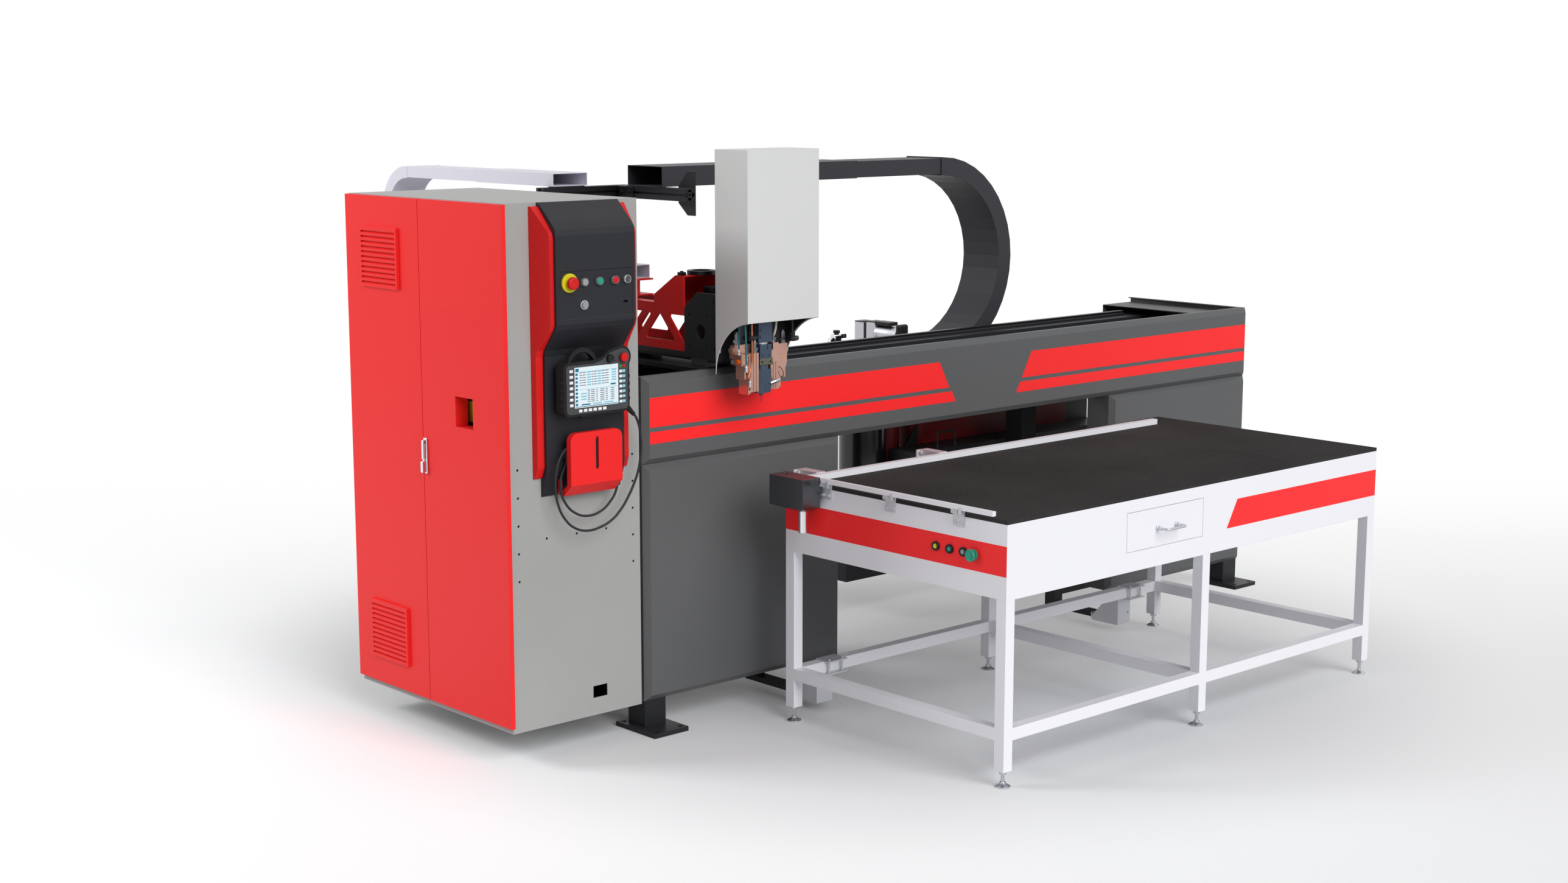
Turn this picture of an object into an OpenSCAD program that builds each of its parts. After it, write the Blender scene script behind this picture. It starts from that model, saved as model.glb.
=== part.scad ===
// Foam gasket dispensing machine with a portable work table.
// Machine frame: X runs along the beam, Y runs from the table to the beam, Z is up.
// Every module below is drawn from the floor under the table's front left corner,
// and place() moves it so that the origin is the centre of the footprint.

/* [Table] */
// Length of the table top
table_l = 2008; // [1600:1:2600]
// Depth of the table top
table_d = 1003; // [850:1:1300]
// Height of the table top
table_h = 850; // [760:1:1000]
// Thickness of the work mat
mat_t = 12; // [6:1:20]
// Height of the sheet apron
apron_h = 238; // [200:1:300]
// Thickness of the apron sheet
apron_t = 3; // [2:0.5:5]
// Side of a square leg tube
leg_w = 40; // [30:1:60]
// Side of a stretcher tube
stretcher_w = 40; // [20:1:40]
// Height of the stretchers' underside
stretcher_z = 150; // [120:1:300]
// Height of the levelling feet
foot_h = 52; // [40:1:80]
// Width of the drawer front
drawer_w = 402; // [300:1:480]
// Height of the drawer front
drawer_h = 132; // [90:1:150]
// Depth of the drawer box
drawer_d = 440; // [300:10:600]
// Radius of the small table buttons
button_r = 9; // [6:0.5:12]
// Radius of the mushroom start button
mushroom_r = 20; // [14:0.5:24]

/* [Beam] */
// Length of the front beam cover
beam_l = 3314; // [3000:1:4000]
// Overhang of the beam cover past the table's left end
beam_over = 447; // [400:1:520]
// Gap between the table and the beam cover
beam_gap = 200; // [180:1:260]
// Depth of the base, front cover to rear edge
base_d = 640; // [600:1:760]
// Height of the cover's top edge
cover_top = 1211; // [1150:1:1211]
// Height of the joint between beam cover and pedestal covers
cover_mid = 917; // [850:1:940]
// Height of the pedestal covers' underside
cover_low = 107; // [90:1:115]
// Width of the bevel round each cover
cover_bevel = 20; // [10:1:30]
// Thickness of the cover sheet
cover_t = 3; // [2:0.5:4]
// Width of one pedestal cover
pedestal_w = 900; // [700:1:1100]
// Depth of the pedestal covers' side returns
return_d = 130; // [100:1:200]
// Side of a base post
post_w = 90; // [60:1:120]
// Thickness of a foot plate
foot_plate_t = 16; // [10:1:25]
// Radius of the anchor bolt holes
anchor_r = 9; // [6:0.5:12]

/* [Cabinet] */
// Width of the electrical cabinet along the beam
cab_w = 523; // [450:1:700]
// Depth of the electrical cabinet
cab_d = 901; // [850:1:1100]
// Height of the cabinet's underside
cab_low = 108; // [80:1:200]
// Height of the cabinet's top
cab_top = 1800; // [1800:1:2000]
// Gap between the cabinet and the beam cover
cab_gap = 25; // [20:1:60]
// Thickness of the cabinet sheet
cab_t = 3; // [2:0.5:4]
// Thickness of a door
door_t = 15; // [10:1:25]
// Gap between the two doors
door_gap = 3; // [2:0.5:6]

/* [Console] */
// Width of the black console housing
console_w = 311; // [300:1:330]
// Depth of the upper console
console_d = 100; // [80:1:120]
// Depth of the lower console
console_low_d = 34; // [30:1:40]
// Thickness of the red side piece
console_side_t = 31; // [20:1:40]
// Radius of a lamp bezel
lamp_r = 14; // [10:0.5:16]

/* [Arm] */
// Width of the cross arm
arm_w = 190; // [180:1:300]
// Length of the cross arm
arm_l = 1750; // [1700:1:1900]
// Height of the lattice sides
truss_h = 157; // [140:1:170]
// Thickness of the lattice sides
truss_t = 6; // [4:0.5:10]
// Pitch of the lattice cut-outs
truss_pitch = 260; // [240:1:300]
// Thickness of the arm's base plate
arm_plate_t = 18; // [12:1:18]

/* [Head] */
// Width of the head cover
head_w = 319; // [310:1:340]
// Depth of the head cover
head_d = 164; // [150:1:180]
// Height of the head cover's top
head_top = 1950; // [1880:1:2050]
// Height of the cover's front edge
head_front_z = 1383; // [1340:1:1400]
// Radius of the curved skirts
skirt_r = 184; // [160:1:190]
// Radius of the dispensing needle
needle_r = 1.5; // [1:0.25:3]

/* [Cable chains] */
// Width of the black chain
xc_w = 202; // [150:1:205]
// Thickness of the black chain
xc_t = 74; // [60:1:78]
// Mean bend radius of the black chain
xc_r = 385.5; // [380:0.5:390]
// Width of the white chain
yc_w = 155; // [140:1:160]
// Thickness of the white chain
yc_t = 47; // [42:1:50]
// Mean bend radius of the white chain
yc_r = 157.5; // [150:0.5:160]
// Wall of a chain section
chain_wall = 2; // [1.5:0.25:3]
// Running gap between nested chain sections
chain_gap = 0.5; // [0.3:0.1:1]

/* [Clearances] */
// Gap at a sliding seat
seat_gap = 0.3; // [0.2:0.1:0.5]
// Radial gap of a running fit
fit_gap = 0.05; // [0.01:0.01:0.1]

/* [Hidden] */
$fn = 48;
e = 1;
front_y = table_d + beam_gap;
beam_x0 = -beam_over;
beam_x1 = beam_x0 + beam_l;
back_y = front_y + base_d;
frame_x0 = beam_x0 + cover_t;
frame_x1 = beam_x1 - cover_t;
rail_top_z = cover_top - 54;
// Base frame members
front_beam_y = front_y + cover_bevel;
beam_cover_d = 40;
rear_beam_y = front_y + 437;
member_w = 140;
member_h = 200;
member_t = 8;
post_y = [front_beam_y, rear_beam_y + member_w - post_w];
post_x = [frame_x0, frame_x1 - post_w];
ped_x1 = beam_x0 + pedestal_w - cover_t;
ped_x2 = beam_x1 - pedestal_w + cover_t;
inner_post_x = [ped_x1 - post_w, ped_x2];
sill_z = cover_low + 13;
sill_h = 60;
// Foot plates
foot_plate_w = 146;
foot_plate_d = 211;
anchor_dx = 106;
anchor_dy = 171;
// Cabinet
cab_x1 = beam_x0 - cab_gap;
cab_x0 = cab_x1 - cab_w;
cab_y0 = front_y + 1;
cab_y1 = cab_y0 + cab_d;
door_x1 = cab_x0 - seat_gap;
door_x0 = door_x1 - door_t;
door_y0 = cab_y0 - 12;
door_mid = cab_y0 + 458;
door_z0 = cab_low + 21;
door_z1 = cab_top - 2;
handle_d = 28;
handle_z = 1016;
handle_l = 111;
handle_w = 14;
handle_y = door_mid - 17;
window_y = door_y0 + 178;
window_z = 1077;
window_w = 99;
recess_x = door_x0 + 48;
switch_x = recess_x + 18;
switch_y = window_y + window_w / 2;
switch_z = window_z + 42;
louvre_w = 224;
louvre_h = 202;
louvre_d = 10;
louvre_y = door_mid + 118;
louvre_zs = [218, 1495];
louvre_slots = 11;
// Console
con_x0 = cab_x0 + 125;
con_x1 = con_x0 + console_w;
con_y = cab_y0 - console_d;
con_low_y = cab_y0 - console_low_d;
con_top = cab_top;
panel_x0 = con_x0 + 15;
panel_x1 = con_x1 - 9;
panel_z0 = con_top - 362;
panel_z1 = con_top - 212;
panel_y = con_y + 2;
row_z = con_top - 248;
row2_z = con_top - 320;
estop_x = con_x0 + 50;
lamp_xs = [con_x0 + 107, con_x0 + 166, con_x0 + 228];
selector_x = con_x0 + 276;
usb_x = con_x0 + 273;
// Pendant
pen_x0 = con_x0 + 25;
pen_x1 = pen_x0 + 260;
pen_z0 = con_top - 672;
pen_z1 = con_top - 500;
pen_back = con_y + 46;
pen_face = con_y;
hump_x = pen_x1 - 30;
hump_z = pen_z1 + 3;
hump_r = 37;
pen_knob_x = pen_x0 + 178;
pen_stop_x = pen_x0 + 230;
pen_knob_z = pen_z1 + 4;
// Cable hook
hook_x0 = con_x0 + 55;
hook_x1 = hook_x0 + 206;
hook_z0 = con_top - 895;
hook_z1 = con_top - 727;
hook_y = con_y + 13;
hook_t = 22;
drum_r = 52;
drum_x = hook_x0 + 103;
drum_z = con_top - 800;
cable_d = 8;
gland_x = hook_x0 + 16;
gland_z = 990;
// X axis
carriage_x = -7;
rail_h = 20;
rail_ys = [front_beam_y + 70, rear_beam_y + 70];
rail_x0 = frame_x0 + 40;
end_box_l = 197;
rail_x1 = beam_x1 - end_box_l - 30;
saddle_z = rail_top_z + 40;
saddle_t = 16;
saddle_x0 = carriage_x - 170;
saddle_x1 = carriage_x + 220;
saddle_y0 = front_y + 42;
saddle_y1 = front_y + 942;
block_xs = [carriage_x - 100, carriage_x + 150];
// Y axis
arm_x0 = carriage_x - 150;
arm_x1 = arm_x0 + arm_w;
arm_mid = (arm_x0 + arm_x1) / 2;
arm_y0 = front_y - 3;
arm_y1 = arm_y0 + arm_l;
arm_z = saddle_z + saddle_t + 30;
plate_z = arm_z + arm_plate_t;
truss_top = plate_z + truss_h;
y_rail_w = 15;
y_rail_h = 15;
y_rail_xs = [arm_x0 + 40, arm_x1 - 40];
y_block_ys = [front_y + 87, front_y + 517];
truss_y0 = front_y + 143;
hood_h = 100;
hood_y1 = front_y + 307;
cheek_y0 = front_y - 33;
cheek_t = 12;
// Head
head_x0 = carriage_x - head_w / 2 - 0.5;
head_x1 = head_x0 + head_w;
head_y1 = cheek_y0;
head_y0 = head_y1 - head_d;
head_z0 = head_front_z - skirt_r;
axis_x = -36;
axis_y = head_y0 + 82;
column_x0 = axis_x - 60;
column_x1 = axis_x + 60;
column_t = 20;
z_rail_d = 10;
z_rail_w = 15;
z_rail_xs = [axis_x - 45, axis_x + 45];
carrier_y = head_y1 - 42;
carrier_t = 8;
slide_zs = [1480, 1620];
// Chain post
prof_w = 45;
prof_top = 1790;
stem_x0 = carriage_x + 167;
cross_y = front_y + 884;
cross_x0 = -200;
front_prof_x = stem_x0 - 22;
front_prof_y = front_y + 491;
// Black chain
xc_y0 = front_y + 643;
xc_y1 = xc_y0 + xc_w;
xc_top = 1865;
xc_mean_top = xc_top - xc_t / 2;
xc_cz = xc_mean_top - xc_r;
xc_low = xc_cz - xc_r - xc_t / 2;
xc_x0 = 157;
xc_seg = 490;
xc_mid_x = xc_x0 + 480;
xc_bend_x0 = xc_mid_x + 500;
xc_bend_cx = xc_bend_x0 + 495;
xc_tail_x0 = 170;
nest = 2 * (chain_wall + chain_gap);
trough_t = 3;
trough_y0 = xc_y0 - 3 - trough_t;
trough_y1 = xc_y1 + 3 + trough_t;
trough_x1 = beam_x1 - end_box_l - 10;
trough_z0 = xc_low - seat_gap - trough_t;
trough_z1 = xc_low + 141;
cover_end_x = 1120;
// White chain
yc_x0 = arm_x0;
yc_top = 1841;
yc_mean_top = yc_top - yc_t / 2;
yc_cz = yc_mean_top - yc_r;
yc_low_z = yc_cz - yc_r - yc_t / 2;
yc_y0 = cross_y;
yc_seg = 490;
yc_bend_y0 = yc_y0 + 480;
yc_bend_cy = yc_bend_y0 + 495;
yc_arm_y0 = front_y + 523;
yc_arm_y1 = yc_bend_cy - 10;
yc_tail_y0 = yc_bend_cy - 502;
// Supply unit
chassis_x0 = 1100;
chassis_z0 = 168;
chassis_z1 = 300;
supply_x0 = 1490;
supply_x1 = 2765;
supply_y0 = back_y + 7;
supply_d = 640;
deck_z1 = 655;
deck_t = 15;
house_x0 = supply_x0 + 160;
house_x1 = supply_x1 - 145;
house_y0 = supply_y0 + 150;
house_d = 420;
house_top = 1000;
tank_y = supply_y0 + 250;
tank_x = supply_x0 - 49;
tank_r = 88;
red_tank_x = supply_x0 + 87;
red_tank_r = 50;
// Extremes of the whole machine, for the origin
min_x = door_x0 - handle_d;
max_x = post_x[1] + post_w / 2 + foot_plate_w / 2;
min_y = -48;
max_y = yc_bend_cy + yc_r + yc_t / 2;

module place() {
  translate([-(min_x + max_x) / 2, -(min_y + max_y) / 2, 0]) children();
}

// A block between two corners
module block(a, b) {
  translate(a) cube([b[0] - a[0], b[1] - a[1], b[2] - a[2]]);
}

// A profile drawn in Y and Z, run along X
module along_x(x0, l) {
  translate([x0, 0, 0]) rotate([90, 0, 90]) linear_extrude(l) children();
}

// A profile drawn in X and Z, run along Y
module along_y(y0, l) {
  translate([0, y0 + l, 0]) rotate([90, 0, 0]) linear_extrude(l) children();
}

module rod_x(x0, l, y, z, r) {
  translate([x0, y, z]) rotate([0, 90, 0]) cylinder(h = l, r = r);
}

module rod_y(y0, l, x, z, r) {
  translate([x, y0, z]) rotate([-90, 0, 0]) cylinder(h = l, r = r);
}

module rod_z(z0, l, x, y, r) {
  translate([x, y, z0]) cylinder(h = l, r = r);
}

// A flat rectangle with round corners, from corner a to corner b
module round_rect(a, b, r) {
  translate([a[0] + r, a[1]]) square([b[0] - a[0] - 2 * r, b[1] - a[1]]);
  translate([a[0], a[1] + r]) square([b[0] - a[0], b[1] - a[1] - 2 * r]);
  for (x = [a[0] + r, b[0] - r]) for (y = [a[1] + r, b[1] - r]) translate([x, y]) circle(r);
}

// An open tube along X between two corners
module tube_x(a, b, t) {
  difference() {
    block(a, b);
    block([a[0] - e, a[1] + t, a[2] + t], [b[0] + e, b[1] - t, b[2] - t]);
  }
}

// Base frame

module base_frame() {
  color("dimgray") place() {
    for (y = [front_beam_y, rear_beam_y])
      tube_x([frame_x0, y, rail_top_z - member_h], [frame_x1, y + member_w, rail_top_z], member_t);
    for (y = post_y) {
      for (x = post_x)
        block([x, y, foot_plate_t], [x + post_w, y + post_w, rail_top_z - member_h]);
      for (x = inner_post_x)
        block([x, y, sill_z], [x + post_w, y + post_w, rail_top_z - member_h]);
      block([frame_x0, y, sill_z], [ped_x1, y + post_w, sill_z + sill_h]);
      block([ped_x2, y, sill_z], [frame_x1, y + post_w, sill_z + sill_h]);
    }
    for (x = [frame_x0, inner_post_x[0], inner_post_x[1], post_x[1]]) {
      block([x, front_beam_y + post_w, sill_z], [x + post_w, post_y[1], sill_z + sill_h]);
      block([x, front_beam_y + member_w, rail_top_z - member_h],
        [x + post_w, rear_beam_y, rail_top_z - member_h + 50]);
    }
    for (z = [400, 900])
      block([cab_x1, post_y[1] + 10, z], [frame_x0, post_y[1] + 80, z + 70]);
    block([cab_x1, front_y + 197, sill_z + 5], [frame_x0, front_y + 267, sill_z + 55]);
    block([cab_x1, front_y + 197, rail_top_z - member_h],
      [frame_x0, front_y + 267, rail_top_z - member_h + 50]);
    for (x = [dock_xs[0] - 25, dock_xs[1] - 25]) {
      block([x, table_d + 134, 40], [x + 50, front_y + 190, 60]);
      block([x, front_y + 140, 60], [x + 50, front_y + 190, 90]);
    }
    block([dock_xs[0] - 25, front_y + 140, 90], [ped_x1, front_y + 190, sill_z]);
    block([dock_xs[1] - 25, front_y + 140, 90], [ped_x2 + post_w, front_y + 190, sill_z]);
    for (x = [ped_x2, post_x[1] - 120])
      block([x, post_y[1] + post_w, sill_z + 10], [x + 60, supply_y0, sill_z + 110]);
    for (x = [frame_x0 + 200 : 560 : trough_x1 - 200])
      block([x, rear_beam_y + member_w, trough_z0], [x + 40, trough_y0, trough_z0 + 50]);
  }
}

dock_xs = [180, 1821];

module foot_plates() {
  color("#222428") place()
    for (x = post_x) for (y = post_y) {
      cx = x + post_w / 2;
      cy = y + post_w / 2 - (y == post_y[0] ? 27 : -27);
      difference() {
        block([cx - foot_plate_w / 2, cy - foot_plate_d / 2, 0],
          [cx + foot_plate_w / 2, cy + foot_plate_d / 2, foot_plate_t]);
        for (i = [-1, 1]) for (j = [-1, 1])
          rod_z(-e, foot_plate_t + 2 * e, cx + i * anchor_dx / 2, cy + j * anchor_dy / 2, anchor_r);
      }
    }
}

// Sheet covers: a pillow of bevelled edges, open at the back

module bevel_panel(x0, x1, z0, z1, d, t, b) {
  intersection() {
    along_x(x0 + t, x1 - x0 - 2 * t)
      polygon([[front_y + t, z0 + t + b], [front_y + t + b, z0 + t], [front_y + d, z0 + t],
        [front_y + d, z1 - t], [front_y + t + b, z1 - t], [front_y + t, z1 - t - b]]);
    translate([0, 0, z0]) linear_extrude(z1 - z0)
      polygon([[x0 + t + b, front_y + t], [x1 - t - b, front_y + t], [x1 - t, front_y + t + b],
        [x1 - t, front_y + d], [x0 + t, front_y + d], [x0 + t, front_y + t + b]]);
  }
}

module sheet_cover(x0, x1, z0, z1, d) {
  difference() {
    bevel_panel(x0, x1, z0, z1, d, 0, cover_bevel);
    bevel_panel(x0, x1, z0, z1, d + e, cover_t, cover_bevel - cover_t);
  }
}

// Cut-outs for the front posts where they pass through a cover's flanges
module post_cuts(z) {
  for (x = concat(post_x, inner_post_x))
    block([x, front_beam_y, z - e], [x + post_w, front_beam_y + post_w, z + cover_t + e]);
}

module front_beam_cover() {
  color("#5a5c5c") place() difference() {
    sheet_cover(beam_x0, beam_x1, cover_mid, cover_top, beam_cover_d);
    post_cuts(cover_mid);
  }
}

module pedestal_cover(x0) {
  difference() {
    sheet_cover(x0, x0 + pedestal_w, cover_low, cover_mid - seat_gap, return_d);
    post_cuts(cover_low);
    post_cuts(cover_mid - seat_gap - cover_t);
  }
}

module left_pedestal_cover() {
  color("#565858") place() pedestal_cover(beam_x0);
}

module right_pedestal_cover() {
  color("#565858") place() pedestal_cover(beam_x1 - pedestal_w);
}

module end_cover() {
  lip = 20;
  x0 = beam_x1 - end_box_l;
  y0 = front_y + beam_cover_d + seat_gap;
  z1 = cover_top - 21;
  color("#5f6161") place() {
    difference() {
      block([x0, y0, z1 - 70], [beam_x1, back_y, z1]);
      block([x0 - e, y0 + cover_t, z1 - 70 - e], [beam_x1 - cover_t, back_y - cover_t, z1 - cover_t]);
      block([x0 - e, y0 - e, z1 - 70 - e], [beam_x1 - cover_t, rear_beam_y + member_w + 5, rail_top_z + e]);
    }
    block([beam_x1 - cover_t, y0, cover_mid], [beam_x1, back_y, cover_top]);
    block([beam_x1 - lip, y0, cover_top - cover_t], [beam_x1, back_y, cover_top]);
  }
}

module x_rails() {
  color("#9a9ca0") place()
    for (y = rail_ys) along_x(rail_x0, rail_x1 - rail_x0)
      polygon([[y - 10, rail_top_z], [y + 10, rail_top_z], [y + 10, rail_top_z + 7],
        [y + 7, rail_top_z + 10], [y + 7, rail_top_z + 14], [y + 10, rail_top_z + 17],
        [y + 10, rail_top_z + rail_h], [y - 10, rail_top_z + rail_h], [y - 10, rail_top_z + 17],
        [y - 7, rail_top_z + 14], [y - 7, rail_top_z + 10], [y - 10, rail_top_z + 7]]);
}

module chain_trough() {
  bead_r = 5;
  color("#2a2b2f") place() {
    along_x(rail_x0, trough_x1 - rail_x0) {
      translate([trough_y0, trough_z0]) square([trough_y1 - trough_y0, trough_t]);
      translate([trough_y0, trough_z0]) square([trough_t, trough_z1 - trough_z0]);
      translate([trough_y1 - trough_t, trough_z0]) square([trough_t, trough_z1 - trough_z0]);
      translate([trough_y0 - bead_r + trough_t - 1, trough_z1 - bead_r]) circle(bead_r);
    }
    block([xc_x0, trough_y0 + trough_t, xc_low + xc_t + 1],
      [cover_end_x, trough_y1 - trough_t, xc_low + xc_t + 1 + trough_t]);
  }
}

// Cabinet

module cabinet_shell() {
  rim = 28;
  color("#b2b4b2") place() {
    difference() {
      block([cab_x0, cab_y0, cab_low], [cab_x1, cab_y1, cab_top]);
      block([cab_x0 + cab_t, cab_y0 + cab_t, cab_low + cab_t],
        [cab_x1 - cab_t, cab_y1 - cab_t, cab_top - cab_t]);
      block([cab_x0 - e, cab_y0 + rim, cab_low + rim], [cab_x0 + cab_t + e, cab_y1 - rim, cab_top - rim]);
      for (i = [0 : 4]) for (x = [cab_x0 + 35, cab_x1 - 29])
        rod_y(cab_y0 - e, cab_t + 2 * e, x, 603 + i * 90, 4);
      for (i = [0 : 2]) rod_y(cab_y0 - e, cab_t + 2 * e, cab_x0 + 144 + i * 119.5, 729, 4);
      block([cab_x0 + 321, cab_y0 - e, 167], [cab_x0 + 379, cab_y0 + cab_t + e, 207]);
    }
    block([switch_x + 4, cab_y0 + cab_t, switch_z - 12], [switch_x + 14, switch_y - 20, switch_z + 12]);
    block([switch_x, switch_y - 34, switch_z - 35], [switch_x + 18, switch_y + 77, switch_z + 35]);
  }
}

module electrics_plate() {
  x1 = cab_x1 - cab_t;
  px = x1 - 25;
  color("#c8c9c4") place() {
    block([px - 3, cab_y0 + 46, 200], [px, cab_y1 - 46, 1700]);
    for (y = [cab_y0 + 80, cab_y1 - 80]) for (z = [250, 1650]) rod_x(px, x1 - px, y, z, 8);
    for (i = [0 : 3]) block([px - 163, cab_y0 + 90 + i * 110, 1300], [px - 3, cab_y0 + 170 + i * 110, 1560]);
    for (i = [0 : 5]) block([px - 83, cab_y0 + 90 + i * 70, 1050], [px - 3, cab_y0 + 150 + i * 70, 1140]);
    block([px - 123, cab_y0 + 560, 1280], [px - 3, cab_y0 + 780, 1560]);
    for (z = [960, 1220, 620]) block([px - 63, cab_y0 + 70, z], [px - 3, cab_y1 - 70, z + 50]);
    block([px - 153, cab_y0 + 120, 300], [px - 3, cab_y0 + 420, 540]);
  }
}

module door_pan(y0, y1) {
  difference() {
    block([door_x0, y0, door_z0], [door_x1, y1, door_z1]);
    block([door_x0 + 2, y0 + 2, door_z0 + 2], [door_x1 + e, y1 - 2, door_z1 - 2]);
  }
}

module louvre(z0) {
  slot_h = louvre_h / (louvre_slots + 1);
  difference() {
    block([door_x0 - louvre_d, louvre_y, z0], [door_x0, louvre_y + louvre_w, z0 + louvre_h]);
    for (i = [0 : louvre_slots - 1])
      along_y(louvre_y + 8, louvre_w - 16)
        polygon([[door_x0 - louvre_d - e, z0 + (i + 0.55) * slot_h],
          [door_x0 - louvre_d - e, z0 + (i + 1.1) * slot_h],
          [door_x0 - 2, z0 + (i + 1.3) * slot_h], [door_x0 - 2, z0 + (i + 0.95) * slot_h]]);
  }
}

module rear_door() {
  color("#e8312c") place() {
    door_pan(door_mid + door_gap / 2, cab_y1);
    for (z = louvre_zs) louvre(z);
  }
}

module front_door() {
  color("#e8312c") place() {
    difference() {
      door_pan(door_y0, door_mid - door_gap / 2);
      block([door_x0 - e, window_y, window_z], [door_x0 + 3, window_y + window_w, window_z + window_w]);
    }
    along_x(door_x0, recess_x - door_x0) difference() {
      translate([window_y - 2, window_z - 2]) square(window_w + 4);
      translate([window_y, window_z]) square(window_w);
    }
    block([door_x0 - 3, handle_y - handle_w / 2, handle_z - handle_l - 6],
      [door_x0, handle_y + handle_w / 2, handle_z + 6]);
  }
}

module swing_handle() {
  color("#c9cbd0") place() {
    along_y(handle_y - 5, 10)
      polygon([[door_x0 - 3 - seat_gap, handle_z], [door_x0 - 3 - seat_gap, handle_z - handle_l],
        [door_x0 - 12, handle_z - handle_l], [door_x0 - handle_d, handle_z - handle_l + 30],
        [door_x0 - handle_d, handle_z - 20], [door_x0 - 18, handle_z]]);
  }
}

module isolator_knob() {
  color("#d8cd20") place() {
    rod_x(recess_x + 11, 7, switch_y, switch_z, 24);
    block([recess_x + 2, switch_y - 6, switch_z - 22], [recess_x + 11, switch_y + 6, switch_z + 22]);
  }
}

// Console

// Side outline of the console in Y and Z, g inside the black housing
module console_outline(g) {
  polygon([[cab_y0, con_top - g], [cab_y0 - 12 + g / 4, con_top - g], [con_y + 20 + g, con_top - 62 - g],
    [con_y + 4 + g, con_top - 80 - g], [con_y + g, con_top - 100 - g], [con_y + g, con_top - 378],
    [con_y + 6 + g, con_top - 394], [con_low_y - 6 + g, con_top - 462], [con_low_y + g, con_top - 482],
    [con_low_y + g, con_top - 848 + g], [con_low_y + 8 + g, con_top - 880 + 2 * g],
    [cab_y0 - 8, con_top - 930 + 5 * g], [cab_y0, con_top - 934 + 5 * g]]);
}

module console_housing() {
  color("#2d2e32") place() {
    difference() {
      along_x(con_x0, console_w) console_outline(0);
      block([panel_x0, con_y - e, panel_z0], [panel_x1, panel_y, panel_z1]);
      block([usb_x - 9, con_y - e, row2_z - 4], [usb_x + 9, panel_y + 12, row2_z + 4]);
      for (x = [estop_x, lamp_xs[0]]) rod_y(panel_y - e, 42, x, x == estop_x ? row_z : row2_z, 11.3);
    }
    block([pen_x0 + 90, pen_back - 12, pen_z0 - 12], [pen_x0 + 180, con_low_y, pen_z0 - seat_gap]);
    block([gland_x - 12, con_low_y - 22, gland_z], [gland_x + 12, con_low_y, gland_z + 26]);
  }
}

module console_sides() {
  t = console_side_t;
  color("#d82a28") place()
    for (s = [0, 1]) intersection() {
      along_x(s == 0 ? con_x0 - t : con_x1, t) console_outline(12);
      linear_extrude(con_top) translate([s == 0 ? con_x0 : con_x1, 0])
        polygon([for (p = [[0, con_y], [t / 2 - 6, con_y], [t / 2, con_y + 20], [t, cab_y0], [0, cab_y0]])
          [(s == 0 ? -1 : 1) * p[0], p[1]]]);
    }
}

module panel_fittings() {
  color("#9ca0a4") place() {
    for (x = lamp_xs) {
      rod_y(panel_y - 5, 5, x, row_z, lamp_r);
      rod_y(panel_y - 9, 4, x, row_z, lamp_r - 4);
    }
    difference() {
      rod_y(panel_y - 5, 5, lamp_xs[0], row2_z, lamp_r);
      rod_y(panel_y - 6, 7, lamp_xs[0], row2_z, 11.3);
    }
    difference() {
      rod_y(panel_y - 9, 9, estop_x, row_z, 30);
      rod_y(panel_y - 10, 11, estop_x, row_z, 11.3);
    }
  }
}

module console_estop() {
  color("#d01818") place() {
    rod_y(panel_y - 30, 14, estop_x, row_z, 20);
    rod_y(panel_y - 16, 46, estop_x, row_z, 11);
  }
}

module spare_button() {
  color("#8c9094") place() {
    rod_y(panel_y - 9, 6, lamp_xs[0], row2_z, lamp_r - 3);
    rod_y(panel_y - 3, 30, lamp_xs[0], row2_z, 11);
  }
}

module selector_switch() {
  color("#55585c") place() {
    rod_y(panel_y - 7, 7 - seat_gap, selector_x, row_z, lamp_r);
    block([selector_x - 4, panel_y - 18, row_z - 12], [selector_x + 4, panel_y - 7, row_z + 12]);
  }
}

// Outline of the hand pendant in X and Z, inset by g
module pendant_outline(g) {
  round_rect([pen_x0 + g, pen_z0 + g], [pen_x1 - g, pen_z1 - g], 22 - g);
  translate([hump_x, hump_z]) circle(hump_r - g);
  polygon([[pen_x0 + 110, pen_z1 - 30], [pen_x0 + 118, pen_z1 - g], [pen_x0 + 150, pen_z1 + 8 - g],
    [pen_x0 + 178, pen_z1 + 28 - g], [hump_x - 10, hump_z + hump_r - 1.4 - g], [hump_x, hump_z]]);
}

module pendant_body() {
  color("#5c5f60") place() {
    difference() {
      along_y(pen_face, 8) pendant_outline(8);
      for (x = [pen_knob_x, pen_stop_x]) rod_y(pen_face - e, 10, x, pen_knob_z, 7 + seat_gap);
    }
  }
}

module pendant_bumper() {
  depth = pen_back - pen_face;
  color("#17181a") place() {
    difference() {
      along_y(pen_face + 3, depth - 3) pendant_outline(0);
      along_y(pen_face + 2, 6) pendant_outline(8);
      for (x = [pen_knob_x, pen_stop_x]) rod_y(pen_face + 6, 26, x, pen_knob_z, 7 + seat_gap);
    }
    difference() {
      along_y(pen_face + 12, 20) translate([pen_x0 + 80, pen_z1 - 14]) circle(58);
      along_y(pen_face + 11, 22) translate([pen_x0 + 80, pen_z1 - 20]) circle(50);
      block([pen_x0, pen_face, pen_z0], [pen_x0 + 180, pen_back, pen_z1 - 4]);
    }
    translate([pen_x1, pen_face + 24, pen_z0 + 14]) rotate([0, 135, 0]) cylinder(h = 46, r = 7);
  }
}

module pendant_estop() {
  color("#cc1414") place() {
    rod_y(pen_face - 16, 12, pen_stop_x, pen_knob_z, 14);
    rod_y(pen_face - 4, 30, pen_stop_x, pen_knob_z, 7);
  }
}

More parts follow.
